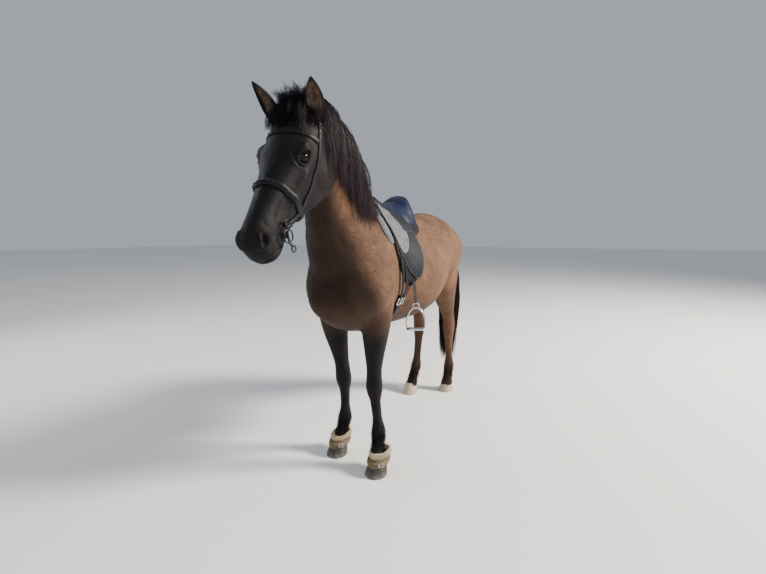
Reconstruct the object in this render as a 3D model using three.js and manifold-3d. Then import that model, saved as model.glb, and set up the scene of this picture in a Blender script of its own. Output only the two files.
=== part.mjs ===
// A life-size standing Icelandic horse in its saddle, bridle and front boots. Millimetres, +X to the
// front, +Y to its left, +Z up, with the origin on the ground under the middle of the bounding box.
import * as THREE from "three";
import { ConvexGeometry } from "three/addons/geometries/ConvexGeometry.js";
import { mergeVertices } from "three/addons/utils/BufferGeometryUtils.js";
import Module from "manifold-3d";

const wasm = await Module();
wasm.setup();
const V = (x, y, z) => new THREE.Vector3(x, y, z);
const degrees = THREE.MathUtils.degToRad;

// Driving sizes
const GAP = 0.35; // between pieces that touch
const TRUNK_RING = 24; // points round each section
const NECK_RING = 16;
const HEAD_RING = 18;
const LEG_RING = 12;
const HEAD_SCALE = 1.03;
const POLL = V(1019, 140, 1660);
const HEAD_YAW = degrees(4.8);
const HEAD_PITCH = degrees(57.4);
const HEAD_ROLL = degrees(2.4);
const MANE_LOCKS = 21;
const FORELOCK_LOCKS = 9;
const TAIL_LOCKS = 12;
const PANEL = 11.5; // padding under the saddle
const FLAP = PANEL + 5.5; // outer face of the flap
const LEATHER = 4; // straps
const GIRTH_X = 306;
const STIRRUP_X = 214;

// A smooth curve through each column of a table of sizes, against its first column.
function sizesAlong(rows) {
  const xs = rows.map((row) => row[0]);
  const slopes = rows[0].slice(1).map((_, c) => {
    const d = xs.slice(1).map((x, i) => (rows[i + 1][c + 1] - rows[i][c + 1]) / (x - xs[i]));
    return xs.map((_, i) => {
      if (i === 0) return d[0];
      if (i === xs.length - 1) return d[d.length - 1];
      return d[i - 1] * d[i] <= 0 ? 0 : (2 * d[i - 1] * d[i]) / (d[i - 1] + d[i]);
    });
  });
  return (x) => {
    let i = 0;
    while (i < xs.length - 2 && x > xs[i + 1]) i++;
    const h = xs[i + 1] - xs[i];
    const t = THREE.MathUtils.clamp((x - xs[i]) / h, 0, 1);
    const t2 = t * t;
    const t3 = t2 * t;
    return slopes.map((m, c) => (2 * t3 - 3 * t2 + 1) * rows[i][c + 1] + (t3 - 2 * t2 + t) * h * m[i]
      + (3 * t2 - 2 * t3) * rows[i + 1][c + 1] + (t3 - t2) * h * m[i + 1]);
  };
}

// The outline of a section from top to bottom, with half widths at set shares of the way down.
function outlineOf(top, bottom, side, shares, widths) {
  const down = bottom.clone().sub(top);
  const at = (share, width) => top.clone().addScaledVector(down, share).addScaledVector(side, width);
  const left = shares.map((s, i) => at(s, widths[i]));
  const right = shares.map((s, i) => at(s, -widths[i])).reverse();
  return new THREE.CatmullRomCurve3([top, ...left, bottom, ...right], true, "centripetal");
}
const ringOf = (curve, count) => curve.getSpacedPoints(count).slice(0, count);
const middle = (ring) => ring.reduce((sum, p) => sum.add(p), V(0, 0, 0)).multiplyScalar(1 / ring.length);

// A closed skin over rings of equal length, with a point at each end.
function skinOver(rings, first = middle(rings[0]), last = middle(rings[rings.length - 1])) {
  const n = rings[0].length;
  const points = [first, ...rings.flat(), last];
  const end = 1 + (rings.length - 1) * n;
  const faces = [];
  for (let j = 0; j < n; j++) {
    const k = (j + 1) % n;
    faces.push([0, 1 + k, 1 + j]);
    for (let a = 1; a < end; a += n) {
      faces.push([a + j, a + k, a + n + k], [a + j, a + n + k, a + n + j]);
    }
    faces.push([end + j, end + k, points.length - 1]);
  }
  const volume = faces.reduce((sum, [a, b, c]) =>
    sum + points[a].dot(V(0, 0, 0).crossVectors(points[b], points[c])), 0);
  const g = new THREE.BufferGeometry().setFromPoints(points);
  g.setIndex(faces.flatMap(([a, b, c]) => (volume < 0 ? [a, c, b] : [a, b, c])));
  return g;
}

// Rings at even steps along a table whose rows give x, top, bottom and half widths.
function sectionsOf(rows, shares, steps, count) {
  const sizes = sizesAlong(rows);
  const first = rows[0][0];
  const last = rows[rows.length - 1][0];
  return Array.from({ length: steps + 1 }, (_, i) => {
    const x = first + ((last - first) * i) / steps;
    const [top, bottom, ...widths] = sizes(x);
    return ringOf(outlineOf(V(x, 0, top), V(x, 0, bottom), V(0, 1, 0), shares, widths), count);
  });
}

// Moves each vertex along its normal by a distance that depends on where it is.
function pushOut(geometry, distance) {
  geometry.computeVertexNormals();
  const p = geometry.attributes.position;
  const n = geometry.attributes.normal;
  for (let i = 0; i < p.count; i++) {
    const d = distance(V(p.getX(i), p.getY(i), p.getZ(i)));
    p.setXYZ(i, p.getX(i) + n.getX(i) * d, p.getY(i) + n.getY(i) * d, p.getZ(i) + n.getZ(i) * d);
  }
  geometry.deleteAttribute("normal");
  return geometry;
}

// How far muscle and bone raise the skin at a point, alike on both sides. Rows: centre, reach, height
function reliefOf(rows) {
  return (v) => rows.reduce((sum, [cx, cy, cz, rx, ry, rz, rise]) => {
    const d = ((v.x - cx) / rx) ** 2 + ((Math.abs(v.y) - cy) / ry) ** 2 + ((v.z - cz) / rz) ** 2;
    return sum + (d < 1 ? rise * (1 - d) ** 2 : 0);
  }, 0);
}

function solidOf(geometry) {
  const bare = geometry.clone();
  bare.deleteAttribute("normal");
  bare.deleteAttribute("uv");
  const g = mergeVertices(bare, 1e-3);
  return new wasm.Manifold(new wasm.Mesh({
    numProp: 3,
    vertProperties: new Float32Array(g.attributes.position.array),
    triVerts: new Uint32Array(g.index.array),
  }));
}

function geometryOf(solid) {
  const m = solid.getMesh();
  const g = new THREE.BufferGeometry();
  g.setAttribute("position", new THREE.BufferAttribute(new Float32Array(m.vertProperties), 3));
  g.setIndex(new THREE.BufferAttribute(new Uint32Array(m.triVerts), 1));
  return g;
}

const grown = (solid) => solidOf(pushOut(geometryOf(solid), () => GAP));
const joined = (solids) => solids.reduce((a, b) => a.add(b));
const largest = (solid) => solid.decompose().reduce((a, b) => (a.volume() > b.volume() ? a : b));
const SIDES = [["left", 1], ["right", -1]];
const UP = V(0, 0, 1);
const block = (x0, x1, y0, y1, z0, z1) => solidOf(new THREE.BoxGeometry(x1 - x0, y1 - y0, z1 - z0)
  .translate((x0 + x1) / 2, (y0 + y1) / 2, (z0 + z1) / 2));

// The part of a solid on the side of a plane that its normal points to
function beyond(solid, normal, point) {
  const n = normal.clone().normalize();
  return solid.trimByPlane(n.toArray(), n.dot(point));
}

// The two parts of a solid parted by a thin cut
function parted(solid, normal, point) {
  const half = normal.clone().setLength(GAP / 2);
  const back = normal.clone().negate();
  return [beyond(solid, normal, point.clone().add(half)), beyond(solid, back, point.clone().sub(half))];
}

// A rod along a path, with a width to the side and a thickness at each point
function rod(path, width, thickness, across, sides = 6, tip = 0) {
  const rings = path.map((p, i) => {
    const along = path[Math.min(i + 1, path.length - 1)].clone().sub(path[Math.max(i - 1, 0)]).normalize();
    const out = V(0, 0, 0).crossVectors(across, along).normalize();
    const side = V(0, 0, 0).crossVectors(along, out);
    return Array.from({ length: sides }, (_, k) => {
      const a = (2 * Math.PI * (k + 0.5)) / sides;
      return p.clone().addScaledVector(side, (Math.cos(a) * width(i)) / 2)
        .addScaledVector(out, (Math.sin(a) * thickness(i)) / 2);
    });
  });
  const last = path.length - 1;
  const end = path[last].clone().sub(path[last - 1]).setLength(tip).add(path[last]);
  return solidOf(skinOver(rings, path[0], end));
}

// Trunk. Rows: x, top, bottom, half widths at these shares of the way down
const TRUNK_SHARES = [0.04, 0.15, 0.35, 0.6, 0.85, 0.97];
const TRUNK = [
  [-746, 1160, 985, 30, 52, 76, 84, 64, 30],
  [-728, 1218, 925, 46, 88, 132, 146, 112, 52],
  [-680, 1284, 880, 64, 130, 188, 204, 160, 74],
  [-610, 1328, 862, 80, 158, 222, 238, 186, 84],
  [-530, 1350, 858, 88, 170, 238, 250, 190, 86],
  [-450, 1355, 856, 92, 174, 240, 248, 180, 80],
  [-370, 1345, 836, 92, 172, 240, 252, 178, 76],
  [-290, 1329, 786, 92, 170, 242, 268, 194, 80],
  [-200, 1315, 738, 92, 172, 250, 286, 216, 86],
  [-100, 1309, 708, 92, 174, 254, 292, 226, 88],
  [0, 1314, 698, 86, 164, 246, 284, 222, 88],
  [90, 1332, 700, 70, 146, 228, 266, 208, 86],
  [180, 1358, 704, 50, 118, 204, 240, 180, 78],
  [270, 1376, 710, 38, 98, 182, 214, 156, 72],
  [360, 1366, 714, 46, 110, 188, 212, 162, 74],
  [450, 1330, 722, 60, 128, 194, 216, 172, 78],
  [530, 1262, 744, 70, 134, 184, 200, 162, 76],
  [600, 1170, 792, 66, 116, 150, 160, 132, 64],
  [645, 1080, 862, 42, 70, 88, 92, 78, 40],
];
const TRUNK_RELIEF = reliefOf([
  [330, 150, 1150, 190, 130, 250, 9], // shoulder blade
  [470, 185, 930, 150, 110, 130, 16], // point of the shoulder
  [320, 205, 900, 90, 90, 110, 10], // back of the upper arm
  [600, 85, 905, 90, 75, 110, 18], // breast
  [620, 0, 905, 90, 28, 130, -14], // furrow of the breast
  [-430, 235, 1215, 60, 80, 50, 10], // point of the hip
  [-560, 200, 1120, 170, 120, 170, 12], // thigh
  [-690, 130, 1080, 110, 90, 170, 10], // buttock
  [-745, 0, 1050, 80, 30, 170, -20], // cleft below the dock
  [-330, 240, 1010, 90, 90, 150, -9], // hollow of the flank
  [-345, 215, 850, 110, 90, 60, 10], // fold of the flank
]);
function trunkSkin(lift) {
  const rings = sectionsOf(TRUNK, TRUNK_SHARES, 24, TRUNK_RING);
  return pushOut(skinOver(rings, V(-758, 0, 1070), V(661, 0, 972)), (v) => TRUNK_RELIEF(v) + lift);
}

// Neck. Rows: step, crest x and z, throat x and z, shift to the left, half widths down from the crest
const NECK_SHARES = [0.05, 0.2, 0.45, 0.72, 0.94];
const NECK = [
  [0, 220, 1330, 560, 850, 0, 30, 84, 150, 165, 80],
  [1, 335, 1382, 640, 975, 0, 34, 84, 150, 162, 80],
  [2, 440, 1440, 694, 1080, 10, 32, 74, 126, 140, 74],
  [3, 555, 1508, 735, 1165, 26, 30, 64, 98, 108, 62],
  [4, 680, 1580, 778, 1240, 50, 28, 58, 84, 90, 54],
  [5, 800, 1648, 822, 1312, 84, 30, 57, 80, 84, 50],
  [6, 900, 1684, 868, 1368, 114, 32, 60, 80, 82, 48],
  [7, 985, 1688, 925, 1405, 136, 32, 58, 72, 72, 42],
];
const NECK_STEPS = 10;
const NECK_SIDE = V(-0.1, 1, 0).normalize();
const neckSizes = sizesAlong(NECK);
function neckOutline(t) {
  const [cx, cz, tx, tz, y, ...widths] = neckSizes(t);
  return outlineOf(V(cx, y, cz), V(tx, y, tz), NECK_SIDE, NECK_SHARES, widths);
}
function neckSkin(lift) {
  const rings = Array.from({ length: NECK_STEPS + 1 }, (_, i) =>
    ringOf(neckOutline((i * (NECK.length - 1)) / NECK_STEPS), NECK_RING));
  return pushOut(skinOver(rings), () => lift);
}

// Head, in its own frame before scaling: x from poll to muzzle, y to the left, z out of the face
const faceAxis = V(
  Math.cos(HEAD_PITCH) * Math.cos(HEAD_YAW),
  Math.cos(HEAD_PITCH) * Math.sin(HEAD_YAW),
  -Math.sin(HEAD_PITCH),
);
const faceLeft = V(-Math.sin(HEAD_YAW), Math.cos(HEAD_YAW), 0).applyAxisAngle(faceAxis, HEAD_ROLL);
const faceOut = V(0, 0, 0).crossVectors(faceAxis, faceLeft);
const HEAD = new THREE.Matrix4()
  .makeBasis(faceAxis, faceLeft, faceOut)
  .scale(V(HEAD_SCALE, HEAD_SCALE, HEAD_SCALE))
  .setPosition(POLL);
const headPoint = (x, y, z) => V(x, y, z).applyMatrix4(HEAD);
const inHead = (geometry) => solidOf(geometry.applyMatrix4(HEAD));

const HEAD_SHARES = [0.05, 0.2, 0.45, 0.72, 0.93];
const HEAD_ROWS = [
  [-60, -40, -150, 26, 42, 50, 48, 30],
  [-20, -14, -194, 36, 64, 70, 66, 40],
  [20, 2, -230, 46, 78, 82, 79, 50],
  [70, 9, -256, 52, 86, 90, 86, 58],
  [120, 11, -268, 56, 89, 93, 89, 62],
  [170, 9, -268, 58, 91, 92, 87, 60],
  [210, 5, -256, 56, 90, 88, 80, 55],
  [255, 0, -236, 48, 80, 81, 69, 48],
  [300, -4, -211, 41, 67, 71, 59, 41],
  [350, -6, -183, 34, 55, 61, 50, 35],
  [396, -7, -161, 30, 47, 53, 45, 32],
  [436, -7, -151, 28, 43, 50, 45, 34],
  [472, -8, -147, 29, 45, 52, 47, 36],
  [504, -13, -146, 30, 47, 54, 49, 38],
  [530, -24, -140, 27, 42, 49, 44, 34],
  [551, -46, -122, 15, 25, 30, 28, 20],
];
const HEAD_RELIEF = reliefOf([
  [186, 99, -25, 54, 48, 40, 25], // orbit
  [148, 78, -8, 34, 30, 26, -6], // hollow above the eye
  [262, 76, -76, 60, 30, 17, 5], // facial crest
  [318, 62, -80, 60, 30, 16, 4],
  [160, 88, -175, 95, 50, 75, 6], // cheek
  [385, 48, -70, 70, 30, 36, -5], // hollow before the crest
  [508, 40, -44, 42, 30, 34, 9], // rim of the nostril
  [345, 0, -4, 120, 16, 14, 2], // bridge of the nose
  [508, 0, -150, 30, 34, 24, 6], // chin
  [300, 0, -215, 150, 26, 50, -10], // between the jaws
]);
function headSkin(lift) {
  const rings = sectionsOf(HEAD_ROWS, HEAD_SHARES, 18, HEAD_RING);
  const skin = skinOver(rings, V(-64, 0, -98), V(561, 0, -82));
  return pushOut(skin, (v) => HEAD_RELIEF(v) + lift / HEAD_SCALE).applyMatrix4(HEAD);
}

// Legs. Rows: height, shift ahead of the plumb line, reach to the front, reach to the back, half width
const FORE = [
  [40, 62, 47, 48, 46], [76, 46, 41, 43, 40], [112, 31, 32, 36, 31], [140, 19, 30, 33, 29],
  [168, 7, 34, 38, 33], [192, 1, 37, 45, 35], [222, -2, 31, 40, 30], [260, -3, 26, 34, 25],
  [350, -1, 29, 35, 28], [398, 2, 40, 44, 40], [428, 4, 44, 47, 44], [462, 4, 43, 44, 42],
  [505, 3, 43, 44, 39], [610, -2, 57, 51, 51], [700, -10, 77, 62, 66], [780, -20, 94, 73, 76],
  [860, -24, 100, 82, 84],
];
const HIND = [
  [40, 64, 46, 47, 45], [78, 47, 40, 42, 41], [114, 32, 33, 36, 32], [146, 19, 31, 33, 29],
  [178, 8, 35, 39, 33], [206, 2, 38, 46, 36], [240, -1, 32, 40, 31], [285, -2, 29, 35, 27],
  [400, -3, 33, 37, 30], [462, -4, 44, 44, 38], [500, -5, 51, 54, 42], [540, -6, 54, 66, 43],
  [580, 4, 54, 66, 41], [650, 38, 66, 72, 49], [725, 76, 94, 86, 64], [795, 100, 124, 104, 77],
  [860, 112, 144, 122, 88], [940, 112, 150, 140, 92], [1010, 112, 140, 140, 86],
];
const HOOF_AHEAD = 78; // the middle of a hoof ahead of its plumb line
const LEGS = [
  { name: "foreleg_left", rows: FORE, hoof: [468, 150], joint: [394, 103, 430], top: [424, 124, 860] },
  { name: "foreleg_right", rows: FORE, hoof: [396, -136], joint: [342, -119, 430], top: [420, -142, 860] },
  { name: "hindleg_left", rows: HIND, hoof: [-790, 88], joint: [-752, 112, 540], top: [-697, 126, 900] },
  { name: "hindleg_right", rows: HIND, hoof: [-608, -142], joint: [-710, -112, 540], top: [-697, -126, 900] },
];
function legSkin(leg, lift) {
  const [hx, hy] = leg.hoof;
  const [jx, jy, jz] = leg.joint;
  const [tx, ty, tz] = leg.top;
  const plumb = sizesAlong([[0, hx - HOOF_AHEAD, hy], [jz, jx, jy], [tz, tx, ty], [tz + 300, tx, ty]]);
  const rings = leg.rows.map(([z, shift, front, back, half]) => {
    const [px, py] = plumb(z);
    const tilt = HOOF.slope * (1 - THREE.MathUtils.smoothstep(z, 90, 205));
    return Array.from({ length: LEG_RING }, (_, i) => {
      const a = (2 * Math.PI * i) / LEG_RING;
      const x = Math.cos(a) * ((Math.cos(a) > 0 ? front : back) + lift);
      return V(px + shift + x, py + Math.sin(a) * (half + lift), z + tilt * x);
    });
  });
  return skinOver(rings);
}

const HOOF = { toe: 61, heel: 56, half: 58, coronet: 62, slope: 0.42, back: 30, shrink: 0.77 };
const HOOF_RING = 12;
const CORONET = V(-HOOF.slope, 0, 1).normalize(); // across the coronet
function coronetPoint(leg, up = 0) {
  return V(leg.hoof[0] - HOOF.back, leg.hoof[1], HOOF.coronet).addScaledVector(CORONET, up);
}
function hoofSkin(leg, lift) {
  const [hx, hy] = leg.hoof;
  const rings = [0, 1, 1.25].map((t) => {
    const size = 1 - (1 - HOOF.shrink) * Math.min(t, 1);
    return Array.from({ length: HOOF_RING }, (_, i) => {
      const a = (2 * Math.PI * i) / HOOF_RING;
      const x = Math.cos(a) * ((Math.cos(a) > 0 ? HOOF.toe : HOOF.heel) * size + lift);
      const y = Math.sin(a) * (HOOF.half * size + lift);
      return V(hx + x - HOOF.back * t, hy + y, t * (HOOF.coronet + HOOF.slope * x));
    });
  });
  return skinOver(rings);
}

// The skin of the whole animal moved out by a distance, made once for each distance
const coats = new Map();
function coat(lift) {
  if (!coats.has(lift)) {
    const parts = [trunkSkin(lift), neckSkin(lift), headSkin(lift), ...LEGS.map((leg) => legSkin(leg, lift))];
    coats.set(lift, joined(parts.map(solidOf)));
  }
  return coats.get(lift);
}
const layer = (inner, outer) => coat(outer).subtract(coat(inner));

const horse = new THREE.Group();
function add(name, solid, color, roughness = 0.8, metalness = 0) {
  const material = new THREE.MeshStandardMaterial({ color, roughness, metalness });
  const mesh = new THREE.Mesh(geometryOf(largest(solid)), material);
  mesh.name = name;
  horse.add(mesh);
}
const COAT = 0x7a5a45;
const DARK = 0x2c2422;
const HAIR = 0x30231f;
const BLACK = 0x18181b;
const GREY = 0x8d9094;
const STEEL = 0x9aa0a4;
const FLEECE = 0xd8cdb8;
const TAN = 0x9a6b45;
const EYE_DARK = 0x100c0a;
const FORE_HOOF = 0x3a332c;
const HIND_HOOF = 0xb09a80;

// Locks of hair: flat, tapered and bent, placed by seeded chance
let seed = 7;
function chance(low, high) {
  seed = (seed * 1664525 + 1013904223) % 4294967296;
  return low + ((high - low) * seed) / 4294967296;
}
function lock(path, width, thickness, across) {
  const last = path.length - 1;
  const taper = (i) => [0.8, 1, 0.86, 0.5][i];
  return rod(path.slice(0, last), (i) => width * taper(i), (i) => thickness * taper(i), across, 4,
    path[last].distanceTo(path[last - 1]));
}

// Mane: rooted along the crest, rising a little and falling mostly to the left
function maneLocks() {
  return Array.from({ length: MANE_LOCKS }, (_, i) => {
    const t = 1.15 + (5.75 * (i + 0.5)) / MANE_LOCKS;
    const left = i % 6 !== 3;
    const long = THREE.MathUtils.clamp(0.4 * t - 0.08, 0.4, 1);
    const fall = left ? long * chance(0.28, 0.37) : chance(0.08, 0.13);
    const rise = 28 + 12 * (i % 3) + 18 * Math.sin(Math.PI * THREE.MathUtils.clamp((t - 2) / 4.6, 0, 1));
    const path = [0, 0.17, 0.46, 0.76, 1].map((s, k) => {
      const round = 0.012 + fall * s ** 1.15;
      const curve = neckOutline(THREE.MathUtils.clamp(t - 1.9 * fall * s ** 1.4, 1.1, 7));
      const p = curve.getPointAt(left ? round : 1 - round);
      const heart = curve.getPointAt(0.5).lerp(curve.getPointAt(0), 0.55);
      const lift = [-16, rise, rise * 0.9, rise * 0.75, rise * 0.6][k];
      return p.clone().add(p.sub(heart).setLength(Math.abs(lift)).multiplyScalar(Math.sign(lift)))
        .add(V(chance(-7, 7), 0, chance(-3, 3)));
    });
    return lock(path, chance(34, 46), 9, V(1, 0, 0.3).normalize());
  });
}

// Forelock: rooted between the ears, rising and then falling over the forehead
function forelockLocks() {
  return Array.from({ length: FORELOCK_LOCKS }, (_, i) => {
    const y = -38 + (76 * (i + 0.5)) / FORELOCK_LOCKS;
    const reach = chance(90, 160);
    const rise = 16 + 11 * (i % 3);
    const drift = y * 0.4 - chance(4, 22);
    const path = [0, 0.22, 0.64, 1].map((s, k) => {
      const lift = [-22, rise, rise + 4, rise * 0.8][k];
      return headPoint(10 - 14 * (i % 3) + reach * s ** 1.2, y + drift * s, 6 + lift - 8 * s * s);
    });
    return lock(path, chance(22, 32), 8, faceLeft);
  });
}

// Tail: locks hanging from the dock, which runs down inside them
const TAIL_PATH = new THREE.CatmullRomCurve3([
  V(-690, 0, 1232), V(-748, 12, 1204), V(-792, 36, 1136), V(-820, 66, 1040),
  V(-838, 92, 900), V(-846, 106, 700), V(-846, 108, 480), V(-842, 100, 262),
]);
function tail() {
  const dock = Array.from({ length: 8 }, (_, i) => TAIL_PATH.getPointAt((0.42 * i) / 7));
  const core = rod(dock, (i) => 84 - 7 * i, (i) => 70 - 6 * i, V(0, 1, 0), 8, 18);
  const locks = Array.from({ length: TAIL_LOCKS }, (_, i) => {
    const root = 0.06 + (0.3 * i) / TAIL_LOCKS;
    const end = chance(0.82, 1);
    const turn = 2.4 * i;
    const spread = 34 + 22 * (i % 3);
    const path = [0, 0.16, 0.6, 1].map((s, k) => {
      const out = [6, 40, spread, spread * 0.6][k];
      const p = TAIL_PATH.getPointAt(root + (end - root) * s);
      return p.add(V(Math.cos(turn) * out * 0.6, Math.sin(turn) * out, 0));
    });
    return lock(path, chance(42, 58), 16, V(0.3, 1, 0).normalize());
  });
  return joined([core, ...locks]);
}

// Ears: a cup along a line, open to the front. Rows: share of the length, half width, depth of the cup
const EARS = [
  { name: "ear_left", base: headPoint(42, 78, -44), reach: V(62, 20, 110), open: V(0.8, 0.55, -0.35) },
  { name: "ear_right", base: headPoint(50, -79, -44), reach: V(64, -54, 140), open: V(0.78, -0.5, -0.35) },
];
const EAR_ROWS = [
  [0, 22, -0.6], [0.2, 29, -0.2], [0.4, 32, 0.6], [0.6, 28, 0.78], [0.8, 19, 0.72],
];
const EAR_WALL = 4.5;
const EAR_ROOM = 1.04; // how much larger than an ear the hollow is that holds it, which has no cup
const ear = (e) => earForm(e, 1, EAR_ROWS);
const earRoom = (e) => earForm(e, EAR_ROOM, EAR_ROWS.map(([share, half]) => [share, half, -0.85]));
function earForm({ base, reach, open }, size, rows) {
  const along = reach.clone().normalize();
  const front = open.clone().addScaledVector(along, -open.dot(along)).normalize();
  const side = V(0, 0, 0).crossVectors(along, front);
  const up = (share) => base.clone().addScaledVector(reach, share * size);
  const rings = rows.map(([share, half, cup]) => {
    const at = (a, r, depth) => up(share).addScaledVector(side, Math.sin(a) * r * size)
      .addScaledVector(front, -Math.cos(a) * r * depth * size);
    const outer = Array.from({ length: 8 }, (_, i) => at(Math.PI * 1.16 * (i / 7 - 0.5), half, 0.85));
    const inner = Array.from({ length: 6 }, (_, i) =>
      at(Math.PI * 1.05 * (0.5 - (i + 0.5) / 6), half - EAR_WALL, cup));
    return [...outer, ...inner];
  });
  return solidOf(skinOver(rings, up(-0.12), up(1).addScaledVector(front, -6)));
}

// The animal is whole and then parted at the throat, the withers, and each elbow and stifle.
const THROAT = { normal: V(250, 0, -160).applyAxisAngle(UP, HEAD_YAW), point: V(970, 128, 1690) };
const headPart = (lift, side) => beyond(solidOf(headSkin(lift)), THROAT.normal,
  THROAT.point.clone().add(THROAT.normal.clone().setLength((side * GAP) / 2)));
const headFlesh = headPart(0, 1);
const WITHERS = { normal: V(370, 0, 270), point: V(330, 0, 1366) };
const [front, bodyFlesh] = parted(coat(0), WITHERS.normal, WITHERS.point);
const neckFlesh = front.subtract(headPart(GAP, -1));
const FORE_REGION = [[300, 800], [540, 782], [620, -10], [180, -10]];
const HIND_REGION = [[-960, 985], [-425, 862], [-425, -10], [-960, -10]];
function legRegion(leg, lift) {
  const fore = leg.rows === FORE;
  const side = Math.sign(leg.top[1]);
  const inner = side * ((fore ? 52 : 34) - lift);
  const grow = [[-lift, lift], [lift, lift], [lift, 0], [-lift, 0]];
  const corners = (fore ? FORE_REGION : HIND_REGION).map(([x, z], i) => [x + grow[i][0], z + grow[i][1]]);
  return solidOf(new ConvexGeometry([inner, side * 400].flatMap((y) => corners.map(([x, z]) => V(x, y, z)))));
}

// Eyes, lids, nostrils and mouth
const EYE = { x: 213, y: 77, z: -42, radius: 20 };
const eyeball = (side, lift) => inHead(new THREE.SphereGeometry((EYE.radius + lift) / HEAD_SCALE, 10, 8)
  .translate(EYE.x, side * EYE.y, EYE.z));
function lids(side) {
  const rim = new THREE.TorusGeometry(EYE.radius - 1, 4.4, 4, 10);
  rim.scale(1, 0.66, 1).rotateX(degrees(90)).rotateZ(side * degrees(12));
  return inHead(rim.translate(EYE.x, side * (EYE.y + 11), EYE.z));
}
function nostril(side) {
  const hole = new THREE.SphereGeometry(1, 7, 5).scale(17, 15, 10).rotateY(degrees(-38));
  return inHead(hole.translate(514, side * 42, -42));
}
const mouth = () => inHead(new ConvexGeometry([-90, 90].flatMap((y) => [
  V(450, y, -120.4), V(450, y, -119.6), V(590, y, -105.3), V(590, y, -102.7),
])));
const BIT = { x: 458, z: -116, radius: 6 };
const mouthpiece = (lift) => inHead(new THREE.CylinderGeometry(BIT.radius + lift, BIT.radius + lift, 122, 6)
  .translate(BIT.x, 0, BIT.z));

// Bands round the head, each in a plane through two points of the head's x and z, with a width
function bandRegion([[x0, z0], [x1, z1], width], grow) {
  const slab = new THREE.BoxGeometry(Math.hypot(x1 - x0, z1 - z0) + 2 * grow, 400, width + 2 * grow);
  slab.rotateY(-Math.atan2(z1 - z0, x1 - x0));
  return inHead(slab.translate((x0 + x1) / 2, 0, (z0 + z1) / 2));
}
const BRIDLE = [
  [[-50, 46], [70, -64], 20], // headpiece
  [[126, -78], [148, 60], 17], // browband
  [[60, -60], [134, -80], 20],
  [[92, -62], [338, -143], 15], // cheekpieces
  [[330, -144], [455, -104], 13],
  [[66, -50], [58, -320], 13], // throatlatch
];
const NOSEBAND = [[354, 40], [326, -260], 24];
const bridleRegion = (grow) => joined(BRIDLE.map((band) => bandRegion(band, grow)));
const nosebandRegion = (grow) => bandRegion(NOSEBAND, grow);
const bridleSpace = layer(0.1, LEATHER + GAP).intersect(bridleRegion(GAP))
  .add(layer(0.1, LEATHER + 2 + GAP).intersect(nosebandRegion(GAP)));

const bothEars = joined(EARS.flatMap((e) => [earRoom(e), grown(ear(e)), ear(e)]));
const headForm = joined([headFlesh, lids(1), lids(-1), ...forelockLocks()])
  .subtract(joined([eyeball(1, GAP), eyeball(-1, GAP), nostril(1), nostril(-1), mouth(), mouthpiece(GAP)]))
  .subtract(bothEars).subtract(bridleSpace);
add("torso", LEGS.reduce((body, leg) => body.subtract(legRegion(leg, GAP)), bodyFlesh), COAT);
add("neck", joined([neckFlesh, ...maneLocks()]).subtract(grown(headForm)).subtract(bothEars)
  .subtract(bridleSpace).subtract(beyond(coat(GAP), WITHERS.normal.clone().negate(), WITHERS.point)), COAT);
add("head", headForm, DARK);
EARS.forEach((e) => add(e.name, ear(e), DARK));
SIDES.forEach(([word, side]) => add(`eye_${word}`, eyeball(side, 0), EYE_DARK, 0.1));
add("tail", tail().subtract(coat(GAP)), HAIR);
LEGS.forEach((leg) => {
  add(leg.name, beyond(bodyFlesh.intersect(legRegion(leg, 0)), CORONET, coronetPoint(leg, GAP / 2)), DARK);
  const foot = beyond(solidOf(hoofSkin(leg, 0)), CORONET.clone().negate(), coronetPoint(leg, -GAP / 2));
  add(leg.name.replace("leg", "hoof"), foot, leg.rows === FORE ? FORE_HOOF : HIND_HOOF);
});

// Bridle and bit
const nosebandSpace = layer(0, LEATHER + 3).intersect(nosebandRegion(GAP));
add("bridle", layer(GAP, LEATHER).intersect(bridleRegion(0)).subtract(nosebandSpace).subtract(bothEars),
  BLACK, 0.5);
add("noseband", layer(GAP, LEATHER + 2).intersect(nosebandRegion(0)), BLACK, 0.5);
const CHEEK = [[433, -97], [448, -105], [462, -116], [472, -130], [477, -146]];
const bitRing = (x, z, y, radius) => inHead(new THREE.TorusGeometry(radius, 3, 4, 8).rotateX(degrees(90))
  .translate(x, y, z));
const bitCheek = (side) => joined([
  rod(CHEEK.map(([x, z], i) => headPoint(x, side * (63 + 0.9 * i), z)), () => 9, () => 7, faceLeft, 5),
  bitRing(424, -92, side * 63, 10),
  bitRing(478, -156, side * 66, 9),
]);
add("bit", joined([mouthpiece(0), bitCheek(1), bitCheek(-1)]), STEEL, 0.3, 0.9);

// Saddle. Outlines in x and z are cut out of layers over the back, alike on both sides.
function cutOut(points, side) {
  const curve = new THREE.SplineCurve(points.map(([x, z]) => new THREE.Vector2(x, z)));
  const prism = new THREE.ExtrudeGeometry(new THREE.Shape(curve.getPoints(points.length + 4)), {
    depth: 420, bevelEnabled: false,
  });
  return solidOf(prism.rotateX(Math.PI / 2).translate(0, side > 0 ? 446 : -26, 0));
}
const SEAT_SHARES = [0.06, 0.25, 0.5, 0.75, 0.95];
const SEAT = [
  [-92, 1412, 1260, 40, 58, 66, 64, 40], [-76, 1434, 1230, 56, 86, 104, 112, 90],
  [-40, 1424, 1200, 58, 98, 126, 142, 120], [15, 1394, 1190, 54, 96, 128, 146, 130],
  [80, 1378, 1190, 46, 86, 116, 134, 120], [145, 1382, 1195, 38, 72, 98, 118, 110],
  [205, 1398, 1210, 32, 58, 84, 104, 96], [245, 1412, 1240, 26, 46, 66, 84, 76],
  [268, 1406, 1300, 16, 30, 42, 48, 40],
];
const seat = (lift) => solidOf(pushOut(skinOver(sectionsOf(SEAT, SEAT_SHARES, 10, 16)), () => lift));
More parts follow.
